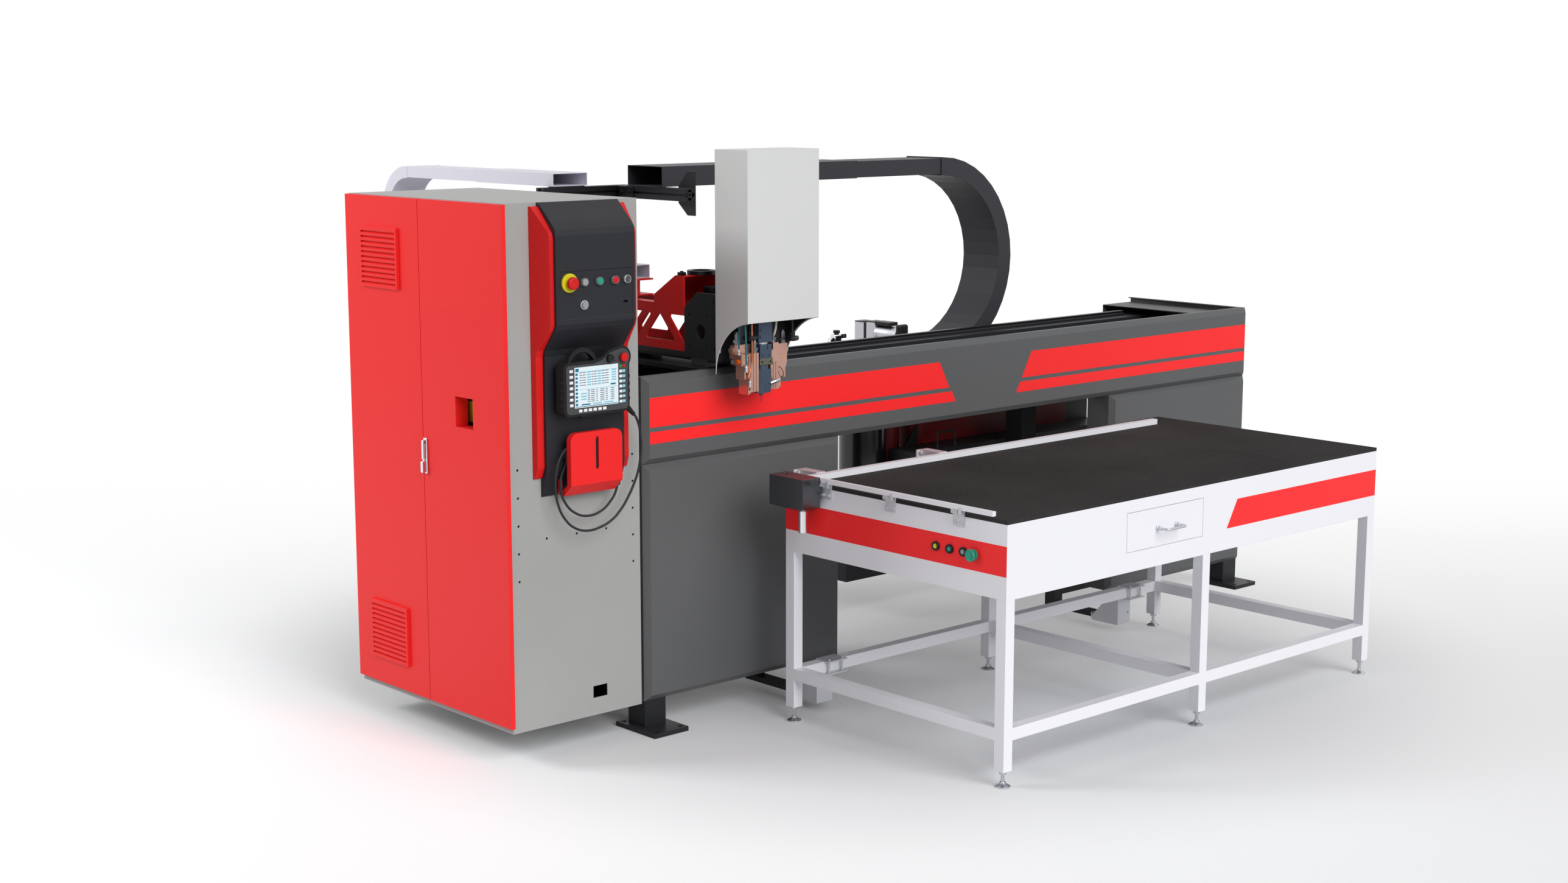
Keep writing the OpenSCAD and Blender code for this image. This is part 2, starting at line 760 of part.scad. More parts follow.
module pendant_knob() {
  color("#141516") place() {
    rod_y(pen_face - 14, 14 - seat_gap, pen_knob_x, pen_knob_z, 13);
    rod_y(pen_face - seat_gap, 26, pen_knob_x, pen_knob_z, 7);
  }
}

module hook_cover() {
  slot_x = hook_x0 + 105;
  y1 = hook_y + hook_t;
  color("#dd2826") place() {
    difference() {
      along_y(hook_y, hook_t) round_rect([hook_x0, hook_z0 - 40], [hook_x1, hook_z1], 28);
      block([hook_x0 - e, hook_y - e, hook_z0 - 41], [hook_x1 + e, y1 + e, hook_z0]);
      along_y(hook_y - e, 8 + e) round_rect([slot_x - 6, hook_z0 + 45], [slot_x + 6, hook_z0 + 151], 5.9);
    }
    along_x(hook_x0, hook_x1 - hook_x0)
      polygon([[hook_y, hook_z0], [y1, hook_z0], [con_low_y - seat_gap, hook_z0 - 24],
        [con_low_y - seat_gap, hook_z0 - 38], [con_low_y - 10, hook_z0 - 38]]);
    block([hook_x0 - 12, con_low_y - 4, hook_z0 - 32], [hook_x0, con_low_y, hook_z0 + 18]);
    rod_y(y1, con_low_y - y1, drum_x, drum_z, drum_r);
  }
}

// Route of the pendant cable from the console's top left corner: strain relief, outer loop,
// over the drum, inner loop, gland
route_steps = [
  [318, 24, -691], [326, 25, -699], [339, 32, -715], [351, 37, -740], [359, 42, -770],
  [363, 44, -800], [361, 46, -840], [352, 46, -880], [335, 46, -920], [310, 46, -962],
  [278, 46, -1002], [240, 46, -1032], [190, 46, -1050], [140, 46, -1054], [90, 46, -1038],
  [50, 45, -1002], [25, 44, -955], [15, 43, -905], [17, 42, -855], [32, 42, -808],
  [62, 42, -774], [105, 42, -753], [158, 43, -743], [205, 45, -758], [240, 48, -798],
  [261, 51, -850], [270, 54, -895], [266, 55, -938], [240, 56, -975], [202, 56, -1000],
  [150, 56, -1008], [100, 56, -992], [62, 56, -955], [45, 56, -910], [48, 56, -865],
  [64, 56, -835], [71, 56, -811]];
route = [for (step = route_steps) [con_x0, con_y, con_top] + step];

// A point on the smooth curve through the route, t from 0 to the last index
function clampi(i) = max(0, min(len(route) - 1, i));
function knot(i) = route[clampi(i)];
function spline(t) = let (i = min(floor(t), len(route) - 2), u = t - i,
    a = knot(i - 1), b = knot(i), c = knot(i + 1), d = knot(i + 2))
  0.5 * (2 * b + (c - a) * u + (2 * a - 5 * b + 4 * c - d) * u * u + (3 * b - a - 3 * c + d) * u * u * u);
function unit(v) = v / norm(v);

module pendant_cable() {
  sides = 8;
  steps = 2 * (len(route) - 1);
  line = [for (k = [0 : steps]) spline(k / 2)];
  rings = [for (k = [0 : steps])
    let (d = unit(line[min(k + 1, steps)] - line[max(k - 1, 0)]),
      n = unit(cross(d, [0, 1, 0])), m = cross(d, n))
    for (s = [0 : sides - 1]) line[k] + cable_d / 2 * (cos(360 * s / sides) * n + sin(360 * s / sides) * m)];
  walls = [for (k = [0 : steps - 1]) for (s = [0 : sides - 1])
    let (a = k * sides + s, b = k * sides + (s + 1) % sides) [a, b, b + sides, a + sides]];
  caps = [[for (s = [sides - 1 : -1 : 0]) s], [for (s = [0 : sides - 1]) steps * sides + s]];
  color("#2c2d30") place() polyhedron(points = rings, faces = concat(walls, caps));
}

// Table

leg_xs = [0, table_l / 2 - leg_w / 2, table_l - leg_w];
leg_ys = [0, table_d - leg_w];
apron_z = table_h - mat_t - apron_h;
deck_z = table_h - mat_t;

module table_frame() {
  in = (leg_w - stretcher_w) / 2;
  a = apron_t;
  color("#e6e6ea") place() {
    for (x = leg_xs) {
      for (y = leg_ys) block([x, y, foot_h], [x + leg_w, y + leg_w, apron_z]);
      block([x + in, leg_w, stretcher_z], [x + in + stretcher_w, leg_ys[1], stretcher_z + stretcher_w]);
      block([max(x, a), a, apron_z], [min(x + leg_w, table_l - a), table_d - a, apron_z + leg_w]);
    }
    for (y = leg_ys) {
      block([leg_w, y + in, stretcher_z], [leg_xs[2], y + in + stretcher_w, stretcher_z + stretcher_w]);
      block([a, max(y, a), apron_z], [table_l - a, min(y + leg_w, table_d - a), apron_z + leg_w]);
    }
    for (x = [drawer_x0 + 14, drawer_x0 + drawer_w - 44])
      block([x, a, apron_z + leg_w], [x + 30, table_d - a, drawer_z0 + 1.5 - seat_gap]);
  }
}

drawer_x0 = 576;
handle_x = 733;
drawer_z0 = apron_z + 65;

module table_apron() {
  color("#f0f0f4") place()
    difference() {
      block([0, 0, apron_z], [table_l, table_d, deck_z]);
      block([apron_t, apron_t, apron_z - e], [table_l - apron_t, table_d - apron_t, deck_z - apron_t]);
      block([drawer_x0, -e, drawer_z0], [drawer_x0 + drawer_w, apron_t + e, drawer_z0 + drawer_h]);
      for (y = small_button_ys) rod_x(-e, apron_t + 2 * e, y, button_z, button_r);
      rod_x(-e, apron_t + 2 * e, mushroom_y, button_z - 3, 11);
    }
}

small_button_ys = [298, 238, 180];
mushroom_y = 137;
button_z = apron_z + 127;

module table_mat() {
  g = seat_gap;
  color("#343334") place()
    difference() {
      block([0, 0, deck_z], [table_l, table_d, table_h]);
      block([-e, back_bar_y - g, deck_z - e], [back_bar_x1 + g, table_d + e, table_h + e]);
    }
}

module levelling_feet() {
  disc_r = 25;
  color("#b8bac0") place()
    for (x = leg_xs) for (y = leg_ys) translate([x + leg_w / 2, y + leg_w / 2, 0])
      rotate_extrude() polygon([[0, 0], [disc_r, 0], [disc_r, 4], [10, 12], [10, 16], [6, 16],
        [6, foot_h - 10], [12, foot_h - 10], [12, foot_h], [0, foot_h]]);
}

bar_t = 15;
back_bar_y = table_d - 118;
back_bar_w = 25;
back_bar_x1 = table_l - 155;

module guide_bars() {
  color("#f2f2f6") place() {
    block([-18, 45, table_h + 10], [-3, 812, table_h + 10 + bar_t]);
    difference() {
      block([2, back_bar_y, deck_z], [back_bar_x1, back_bar_y + back_bar_w, table_h + 20]);
      for (x = [1213, 1806]) rod_z(deck_z - e, table_h + 22 - deck_z, x, back_bar_y + back_bar_w / 2, 5);
    }
  }
}

back_clamp_xs = [66, 661];

// A socket head screw that points along X, with its head's face at x
module socket_screw_x(x, y, z) {
  difference() {
    rod_x(x, 6, y, z, 6);
    rod_x(x - e, 3, y, z, 3);
  }
}

module table_brackets() {
  color("#a8aaae") place() {
    for (y = [200, 501, 799]) {
      block([-5, y - 23, table_h - 44], [0, y + 23, table_h - 4]);
      block([-16, y - 23, table_h - 4], [0, y + 23, table_h + 10]);
      block([-22, y - 25, table_h - 4], [-16, y - 14, table_h + 10]);
      block([-22, y - 25, table_h + 10], [-18 - seat_gap, y - 14, table_h + 18]);
      for (dy = [-13, 13]) socket_screw_x(-11, y + dy, table_h - 31);
      for (dy = [-4, 9]) socket_screw_x(-22, y + dy, table_h + 3);
    }
    for (x = back_clamp_xs) {
      block([x - 29, table_d, table_h - 44], [x + 29, table_d + 5, table_h + 22]);
      block([x - 12, back_bar_y + back_bar_w, deck_z], [x + 29, table_d, table_h + 22]);
      for (dx = [-16, 0]) rod_y(table_d - 12, 12, x + dx, table_h + 14, 6);
      for (dx = [-13, 13]) rod_y(table_d + 5, 6, x + dx, table_h - 31, 6);
    }
    for (x = dock_xs) {
      zs = stretcher_z;
      difference() {
        along_x(x - 38, 76) polygon([[table_d - 3, 32], [table_d + 125, 32], [table_d + 134, 45],
          [table_d + 42, zs - 4], [table_d - 3, zs - 4]]);
        along_x(x - 34, 68) polygon([[table_d + 1, 31], [table_d + 130, 31], [table_d + 130, 45],
          [table_d + 38, zs - 8], [table_d + 1, zs - 8]]);
        rod_y(table_d - 4, 6, x + 25, 75, 4);
      }
      block([x - 38, table_d + 130, 36], [x + 38, table_d + 134, 62]);
      block([x - 38, table_d - 66, zs - 4], [x + 50, table_d + 50, zs]);
      block([x - 38, table_d - 66, zs + stretcher_w], [x + 50, table_d + 2, zs + stretcher_w + 4]);
      for (i = [x - 25, x + 37]) {
        rod_z(zs + stretcher_w + 4, 5, i, table_d - 52, 5);
        rod_z(zs, stretcher_w, i, table_d - 52, 4);
      }
    }
  }
}

module drawer() {
  g = 1.5;
  wall = 2;
  x0 = drawer_x0 + g;
  x1 = drawer_x0 + drawer_w - g;
  z0 = drawer_z0 + g;
  z1 = drawer_z0 + drawer_h - g;
  color("#eeeef2") place() {
    difference() {
      block([x0, 0, z0], [x1, drawer_d, z1 - 10]);
      block([x0 + wall, 3, z0 + wall], [x1 - wall, drawer_d - wall, z1]);
    }
    block([x0, 0, z0], [x1, 3, z1]);
    for (x = [handle_x, handle_x + 98]) {
      rod_y(-5, 5, x, drawer_z0 + 63, 8);
      rod_y(-18, 13, x, drawer_z0 + 63, 6);
      rod_y(-34, 16, x, drawer_z0 + 63, 4);
    }
    for (s = [0, 1]) translate([handle_x + 10 + s * 78, -34, drawer_z0 + 63])
      rotate([0, 0, s == 0 ? 180 : 270])
      rotate_extrude(angle = 90) translate([10, 0]) circle(4);
    rod_x(handle_x + 10, 78, -44, drawer_z0 + 63, 4);
  }
}

module panel_button(y) {
  rod_x(-8, 30, y, button_z, button_r - seat_gap);
}

module yellow_button() {
  color("#c8c020") place() panel_button(small_button_ys[0]);
}

module green_button() {
  color("#149478") place() panel_button(small_button_ys[1]);
}

module grey_button() {
  color("#90948f") place() panel_button(small_button_ys[2]);
}

module start_button() {
  color("#149478") place() {
    rod_x(-22, 10, mushroom_y, button_z - 3, mushroom_r);
    rod_x(-12, 40, mushroom_y, button_z - 3, 11 - seat_gap);
  }
}

module purge_box() {
  x0 = -95;
  x1 = -17;
  y0 = 815;
  y1 = 981;
  z0 = table_h - 73;
  z1 = table_h + 27;
  t = 3;
  hole_x = -50;
  pipe_y = 862;
  color("#8e8f92") place() {
    difference() {
      block([x0, y0, z0], [x1, y1, z1]);
      block([x0 + t, y0 + t, z0 - e], [x1 - t, y1 - t, z1 - t]);
      rod_z(z1 - 4, 6, hole_x, 950, 9);
      rod_z(z1 - 4, 6, hole_x, 858, 4);
    }
    difference() {
      purge_funnel(x0, x1, y0, y1, z0, hole_x, pipe_y, 0);
      purge_funnel(x0 + t, x1 - t, y0 + t, y1 - t, z0 + e, hole_x, pipe_y, t + e);
      rod_z(z0 - 90, 90, hole_x, pipe_y, 13);
    }
    difference() {
      rod_z(z0 - 88, 74, hole_x, pipe_y, 16);
      rod_z(z0 - 89, 80, hole_x, pipe_y, 13);
    }
    for (y = [y0 + 24, y1 - 24]) for (z = [z0 + 26, z1 - 26]) rod_x(x1, -x1, y, z, 7);
  }
}

// The sloping floor of the purge box, from its rim down to the drain pipe
module purge_funnel(x0, x1, y0, y1, z, px, py, lift) {
  hull() {
    block([x0, y0, z - 1], [x1, y1, z]);
    block([px - 16, py - 16, z - 15 + lift], [px + 16, py + 16, z - 14 + lift]);
  }
}

// Supply unit behind the beam

module supply_cabinet() {
  t = 4;
  color("#a81e20") place() difference() {
    translate([0, 0, chassis_z1]) linear_extrude(house_top - chassis_z1)
      polygon([[house_x0, house_y0 + 40], [house_x0 + 40, house_y0], [house_x1, house_y0],
        [house_x1, house_y0 + house_d], [house_x0, house_y0 + house_d]]);
    translate([0, 0, chassis_z1 + t]) linear_extrude(house_top - chassis_z1 - 2 * t)
      polygon([[house_x0 + t, house_y0 + 42], [house_x0 + 42, house_y0 + t], [house_x1 - t, house_y0 + t],
        [house_x1 - t, house_y0 + house_d + e], [house_x0 + t, house_y0 + house_d + e]]);
  }
}

module supply_tanks() {
  t = 4;
  y1 = supply_y0 + supply_d;
  y2 = house_y0 - seat_gap;
  side_x = house_x1 + seat_gap;
  hx = [supply_x0 + 150, supply_x0 + 255];
  hy = supply_y0 + 17;
  color("#232428") place() {
    difference() {
      union() {
        block([chassis_x0, supply_y0, chassis_z0], [supply_x1, y1, chassis_z1]);
        block([supply_x0, supply_y0, chassis_z0], [supply_x1, y2, deck_z1]);
      }
      block([chassis_x0 + t, supply_y0 + t, chassis_z0 - e], [supply_x1 - t, y1 - t, chassis_z1 - t]);
      block([supply_x0 + t, supply_y0 + t, chassis_z0 - e], [supply_x1 - t, y2 - t, deck_z1 - deck_t]);
    }
    for (x = [chassis_x0 + 50, 1900, supply_x1 - 65]) rod_z(0, chassis_z1 - 2, x, y1 - 50, 25);
    difference() {
      block([side_x, house_y0, chassis_z1], [supply_x1, house_y0 + house_d, house_top]);
      block([side_x + t, house_y0 + t, chassis_z1 + t],
        [supply_x1 - t, house_y0 + house_d + e, house_top - t]);
    }
    along_y(y2 - 8, 6) polygon([[supply_x0 + 80, deck_z1 - e], [house_x0 - 1, deck_z1 - e],
      [house_x0 - 1, deck_z1 + 85]]);
    for (x = hx) {
      rod_z(deck_z1, 57, x, hy, 4);
      rod_z(deck_z1, 16, x, hy, 8);
    }
    for (i = [0, 1]) translate([hx[i] + (i == 0 ? 10 : -10), hy, deck_z1 + 57])
      rotate([90, 0, i == 0 ? 180 : 0]) rotate_extrude(angle = 90) translate([10, 0]) circle(4);
    rod_x(hx[0] + 10, hx[1] - hx[0] - 20, hy, deck_z1 + 67, 4);
    difference() {
      union() {
        rod_z(chassis_z1 - 2, 657, tank_x, tank_y, tank_r);
        rod_z(955, 25, tank_x, tank_y, tank_r - 30);
      }
      rod_z(chassis_z1 + 2, 649, tank_x, tank_y, tank_r - t);
    }
    difference() {
      union() {
        rod_z(chassis_z1 - 2, 590, red_tank_x, tank_y, red_tank_r);
        rod_z(888, 20, red_tank_x, tank_y, red_tank_r - 20);
      }
      rod_z(chassis_z1 + 2, 582, red_tank_x, tank_y, red_tank_r - t);
    }
  }
}

module pump_drive() {
  y = supply_y0 + 400;
  deck = 1045;
  color("#c4c6cc") place() {
    block([1775, y - 40, house_top], [1855, y + 40, deck - 10]);
    block([1340, y - 50, deck - 10], [1870, y + 50, deck]);
    block([1530, y - 48, deck], [1582, y + 48, deck + 118]);
    block([1582, y - 40, deck + 4], [1596, y + 40, deck + 110]);
    block([1596, y - 48, deck], [1658, y + 48, deck + 114]);
    rod_x(1658, 122, y, deck + 52, 42);
    block([1780, y - 46, deck + 4], [1862, y + 46, deck + 98]);
    block([1398, y - 16, deck], [1430, y + 16, deck + 60]);
    rod_y(y - 34, 18, 1380, deck + 44, 22);
    rod_x(1386, 12, y - 20, deck + 44, 8);
    rod_z(deck + 60, 30, 1414, y, 14);
    block([1430, y - 3, deck + 54], [1470, y + 3, deck + 74]);
  }
}

// Carriage on the beam

module saddle() {
  motor_y = front_y + 220;
  color("#2f3034") place() {
    block([saddle_x0, saddle_y0, saddle_z], [saddle_x1 - 50, saddle_y1, saddle_z + saddle_t]);
    block([saddle_x1 - 50, saddle_y1 - 90, saddle_z], [saddle_x1, saddle_y1, saddle_z + saddle_t]);
    block([carriage_x - 60, motor_y, saddle_z - 60], [carriage_x + 60, motor_y + 150, saddle_z]);
    rod_z(saddle_z - 160, 100, carriage_x, motor_y + 80, 45);
  }
}

module guide_blocks() {
  color("#7d8086") place() {
    for (x = block_xs) for (y = rail_ys) difference() {
      block([x - 45, y - 31, rail_top_z + 5], [x + 45, y + 31, saddle_z]);
      block([x - 46, y - 10 - seat_gap, rail_top_z],
        [x + 46, y + 10 + seat_gap, rail_top_z + rail_h + seat_gap]);
    }
    for (x = y_rail_xs) for (y = y_block_ys) difference() {
      block([x - 24, y - 40, saddle_z + saddle_t], [x + 24, y + 40, arm_z - 3]);
      block([x - y_rail_w / 2 - seat_gap, y - 41, arm_z - y_rail_h - seat_gap],
        [x + y_rail_w / 2 + seat_gap, y + 41, arm_z]);
    }
  }
}

// Square slotted profile section with its corner at the given point
module slot_profile(w) {
  s = 8;
  d = 12;
  difference() {
    square([w, w]);
    for (a = [0, 90, 180, 270]) translate([w / 2, w / 2]) rotate(a) {
      translate([w / 2 - d, -s / 2]) square([d + e, s]);
      translate([w / 2 - d, -s]) square([d - 5, 2 * s]);
    }
    translate([w / 2, w / 2]) circle(4);
  }
}

module chain_post() {
  top = prof_top;
  color("#1c1d20") place() {
    translate([stem_x0, cross_y, saddle_z + saddle_t])
      linear_extrude(top - prof_w - saddle_z - saddle_t) slot_profile(prof_w);
    translate([cross_x0, cross_y, top - prof_w]) rotate([90, 0, 90])
      linear_extrude(stem_x0 + prof_w - cross_x0) slot_profile(prof_w);
    translate([front_prof_x, cross_y, top - prof_w]) rotate([90, 0, 0])
      linear_extrude(cross_y - front_prof_y) slot_profile(prof_w);
    for (s = [0 : 1]) along_x(front_prof_x + prof_w, 6)
      polygon([[front_prof_y, top - 20 - s * 5], [front_prof_y + 91, top - 20 - s * 5],
        [front_prof_y + 91, top - prof_w - 10 + s * 60], [front_prof_y + 40, top + (s == 0 ? -98 : 62)],
        [front_prof_y, top + (s == 0 ? -98 : 62)]]);
    difference() {
      block([front_prof_x - 5, cross_y - 97, top - 42], [front_prof_x, cross_y - 10, top - 3]);
      for (y = [cross_y - 78, cross_y - 30]) rod_x(front_prof_x - 6, 7, y, top - 22, 4);
    }
    for (y = [cross_y - 78, cross_y - 30]) rod_x(front_prof_x - 11, 6, y, top - 22, 6);
    block([front_prof_x, xc_y0 + 15, top], [front_prof_x + prof_w, xc_y1 - 15, xc_top - xc_t]);
    block([yc_x0 + 10, cross_y + 3, top], [yc_x0 + yc_w - 10, cross_y + prof_w - 3, yc_top - yc_t]);
    block([stem_x0 - 30, cross_y - 20, saddle_z + saddle_t],
      [stem_x0, cross_y + prof_w + 5, saddle_z + saddle_t + 8]);
  }
}

// A hollow chain run along X, shrunk by s on every side
module run_x(x0, x1, y0, z0, s) {
  difference() {
    block([x0, y0 + s, z0 + s], [x1, y0 + xc_w - s, z0 + xc_t - s]);
    block([x0 - e, y0 + s + chain_wall, z0 + s + chain_wall],
      [x1 + e, y0 + xc_w - s - chain_wall, z0 + xc_t - s - chain_wall]);
  }
}

// A hollow chain run along Y, shrunk by s on every side
module run_y(y0, y1, x0, z0, s) {
  difference() {
    block([x0 + s, y0, z0 + s], [x0 + yc_w - s, y1, z0 + yc_t - s]);
    block([x0 + s + chain_wall, y0 - e, z0 + s + chain_wall],
      [x0 + yc_w - s - chain_wall, y1 + e, z0 + yc_t - s - chain_wall]);
  }
}

// Half ring of flat links between two radii, opening towards minus
module half_ring(r0, r1, n) {
  polygon(concat([for (i = [0 : n]) [r1 * sin(180 * i / n), r1 * cos(180 * i / n)]],
    [for (i = [n : -1 : 0]) [r0 * sin(180 * i / n), r0 * cos(180 * i / n)]]));
}

links = 20;

module x_chain_entry() {
  color("#3a3a40") place() run_x(xc_x0, xc_x0 + xc_seg, xc_y0, xc_top - xc_t, 0);
}

module x_chain_middle() {
  color("#3a3a40") place()
    run_x(xc_mid_x, xc_mid_x + 510, xc_y0, xc_top - xc_t, nest / 2);
}

module x_chain_bend() {
  w = chain_wall;
  color("#3a3a40") place() {
    run_x(xc_bend_x0, xc_bend_cx, xc_y0, xc_top - xc_t, nest);
    difference() {
      translate([xc_bend_cx, 0, xc_cz]) along_y(xc_y0, xc_w)
        half_ring(xc_r - xc_t / 2, xc_r + xc_t / 2, links);
      translate([xc_bend_cx, 0, xc_cz]) along_y(xc_y0 + w, xc_w - 2 * w)
        half_ring(xc_r - xc_t / 2 + w, xc_r + xc_t / 2 - w, links);
    }
    difference() {
      block([xc_bend_cx - 6, xc_y0, xc_top - xc_t], [xc_bend_cx, xc_y1, xc_top]);
      block([xc_bend_cx - 7, xc_y0 + nest, xc_top - xc_t + nest],
        [xc_bend_cx + 1, xc_y1 - nest, xc_top - nest]);
    }
    run_x(xc_tail_x0, xc_bend_cx, xc_y0, xc_low, 0);
  }
}

module y_chain_upper() {
  color("#e9e7f4") place() run_y(yc_y0, yc_y0 + yc_seg, yc_x0, yc_top - yc_t, 0);
}

module y_chain_bend() {
  w = chain_wall;
  color("#e9e7f4") place() {
    run_y(yc_bend_y0, yc_bend_cy, yc_x0, yc_top - yc_t, nest / 2);
    run_y(yc_tail_y0, yc_bend_cy, yc_x0, yc_low_z, nest / 2);
    difference() {
      translate([0, yc_bend_cy, yc_cz]) along_x(yc_x0, yc_w)
        half_ring(yc_r - yc_t / 2, yc_r + yc_t / 2, links);
      translate([0, yc_bend_cy, yc_cz]) along_x(yc_x0 + w, yc_w - 2 * w)
        half_ring(yc_r - yc_t / 2 + w, yc_r + yc_t / 2 - w, links);
    }
    for (z = [yc_top - yc_t, yc_low_z]) difference() {
      block([yc_x0, yc_bend_cy - 4, z], [yc_x0 + yc_w, yc_bend_cy, z + yc_t]);
      block([yc_x0 + nest, yc_bend_cy - 5, z + nest], [yc_x0 + yc_w - nest, yc_bend_cy + 1, z + yc_t - nest]);
    }
  }
}

module y_chain_lower() {
  color("#e9e7f4") place() run_y(yc_arm_y0, yc_arm_y1, yc_x0, yc_low_z, 0);
}

// Cross arm

module arm_base() {
  cheek_top = arm_z + 224;
  color("#26272a") place() {
    block([arm_x0, arm_y0, arm_z], [arm_x1, arm_y1, plate_z]);
    for (x = y_rail_xs) block([x - y_rail_w / 2, arm_y0 + 5, arm_z - y_rail_h],
      [x + y_rail_w / 2, arm_y1 - 5, arm_z]);
    for (x = [arm_x0, arm_x1 - cheek_t]) difference() {
      along_x(x, cheek_t)
        polygon([[cheek_y0, plate_z], [truss_y0, plate_z], [truss_y0, cheek_top - 57],
          [truss_y0 - 65, cheek_top], [cheek_y0, cheek_top]]);
      rod_x(x - e, cheek_t + 2 * e, cheek_y0 + 91, plate_z + 73, 25);
      for (p = [[20, 20], [20, 120], [20, 180], [58, 20], [58, 128], [150, 20], [150, 128]])
        rod_x(x - e, cheek_t / 2 + e, cheek_y0 + p[0], plate_z + p[1], 5);
    }
    block([arm_x0 + cheek_t, cheek_y0, plate_z], [arm_x1 - cheek_t, cheek_y0 + 12, cheek_top]);
    block([arm_x0, cheek_y0, arm_z], [arm_x1, arm_y0 + 30, plate_z]);
  }
}

// A triangle with round corners in Y and Z; s is 1 for apex up and -1 for apex down
module lattice_hole(cy, s) {
  r = 7;
  hb = 81 - r * 1.6;
  z0 = plate_z + 31 + r;
  z1 = plate_z + truss_h - 35 - r;
  zb = s > 0 ? z0 : z1;
  za = s > 0 ? z1 : z0;
  k = unit([z1 - z0, hb]);
  n = r * k;
  translate([cy - hb, zb]) circle(r);
  translate([cy + hb, zb]) circle(r);
  translate([cy, za]) circle(r);
  polygon([[cy - hb, zb - s * r], [cy + hb, zb - s * r], [cy + hb + n[0], zb + s * n[1]],
    [cy + n[0], za + s * n[1]], [cy - n[0], za + s * n[1]], [cy - hb - n[0], zb + s * n[1]]]);
}

module arm_truss() {
  n = floor((arm_l - 330) / truss_pitch);
  up0 = front_y + 274.5;
  flange = 40;
  color("#a81d20") place() {
    for (x = [arm_x0, arm_x1 - truss_t]) difference() {
      block([x, truss_y0, plate_z], [x + truss_t, arm_y1, truss_top]);
      translate([x - e, 0, 0]) along_x(0, truss_t + 2 * e)
        for (k = [0 : n]) {
          if (k < n) lattice_hole(up0 + k * truss_pitch, 1);
          lattice_hole(up0 + (k - 0.5) * truss_pitch, -1);
        }
      for (k = [0 : n - 1]) for (j = [-1 : 1])
        rod_x(x - e, truss_t + 2 * e, up0 + k * truss_pitch + j * 30, plate_z + 15, 3);
    }
    block([arm_x0 + truss_t, truss_y0 + 170, truss_top - truss_t], [arm_x0 + flange, arm_y1, truss_top]);
    block([arm_x1 - flange, truss_y0 + 170, truss_top - truss_t], [arm_x1 - truss_t, arm_y1, truss_top]);
    block([arm_x0 + truss_t, arm_y1 - truss_t, plate_z], [arm_x1 - truss_t, arm_y1, truss_top - truss_t]);
    for (y = [yc_arm_y0 - 20, arm_y1 - 110]) {
      block([arm_x0, y, truss_top], [yc_x0 + yc_w, y + 90, truss_top + 6]);
      block([arm_x0, y, yc_low_z - 6], [yc_x0 + yc_w, y + 90, yc_low_z]);
      for (x = [arm_x0 + 20, yc_x0 + yc_w - 50]) block([x, y + 20, truss_top + 6],
        [x + 6, y + 80, yc_low_z - 6]);
    }
  }
}

module drive_hood() {
  t = 4;
  z0 = truss_top;
  z1 = truss_top + hood_h;
  color("#c02224") place() {
    for (x = [arm_x0, arm_x1 - t]) along_x(x, t)
      polygon([[truss_y0, z0], [hood_y1, z0], [hood_y1, z0 + 27], [truss_y0 + 47, z1], [truss_y0, z1]]);
    block([arm_x0 + t, truss_y0, z1 - t], [arm_x1 - t, truss_y0 + 47, z1]);
    along_x(arm_x0 + t, arm_w - 2 * t)
      polygon([[truss_y0 + 47, z1], [truss_y0 + 47, z1 - t], [hood_y1 - t, z0 + 25],
        [hood_y1 - t, z0], [hood_y1, z0], [hood_y1, z0 + 27]]);
  }
}

module y_drive() {
  z1 = truss_top + hood_h;
  disc_y = truss_y0 + 20;
  color("#1a1b1d") place() {
    difference() {
      rod_z(z1, 14, arm_mid, disc_y, 50);
      rod_z(z1 + 8, 8, arm_mid, disc_y, 34);
    }
    block([arm_x0 + 4, disc_y, z1], [arm_x0 + 26, disc_y + 20, z1 + 11]);
    rod_z(z1 + 11, 4, arm_x0 + 15, disc_y + 10, 6);
    block([arm_mid - 50, disc_y - 100, plate_z], [arm_mid + 50, disc_y - 28, plate_z + 150]);
    rod_z(plate_z + 150, 70, arm_mid, disc_y - 64, 36);
  }
}

// Dispensing head

module head_side() {
  difference() {
    translate([head_y0, head_z0]) square([head_d, head_top - head_z0]);
    translate([head_y1 - skirt_r, head_z0]) circle(skirt_r - 0.01, $fn = 96);
  }
}

module head_cover() {
  t = 3;
  color("#dcdedc") place() {
    for (x = [head_x0, head_x1 - t]) along_x(x, t) head_side();
    block([head_x0 + t, head_y0, head_front_z], [head_x1 - t, head_y0 + t, head_top]);
    block([head_x0 + t, head_y0 + t, head_top - t], [head_x1 - t, head_y1, head_top]);
    block([head_x0 + t, head_y1 - t, plate_z + 10], [head_x0 + t + 17, head_y1, plate_z + 200]);
  }
}

module z_column() {
  y1 = head_y1;
  y0 = y1 - column_t;
  color("#4a4c50") place() {
    block([column_x0, y0, plate_z], [column_x1, y1, head_top - 20]);
    for (x = z_rail_xs) block([x - z_rail_w / 2, y0 - z_rail_d, plate_z + 10],
      [x + z_rail_w / 2, y0, head_top - 60]);
    block([column_x0 + 20, y0 - 70, head_top - 40], [column_x1 - 20, y0, head_top - 20]);
    block([column_x0 + 25, y0 - 68, head_top - 150], [column_x1 - 25, y0 - 12, head_top - 40]);
    block([column_x1, y1 - 6, plate_z + 10], [head_x1 - 8, y1, plate_z + 300]);
    along_x(head_x1 - 8, 4) difference() {
      translate([head_y0 + 30, head_z0 + 25]) square([head_d - 30, plate_z + 300 - head_z0 - 25]);
      translate([head_y1 - skirt_r, head_z0]) circle(skirt_r + 3);
    }
  }
}

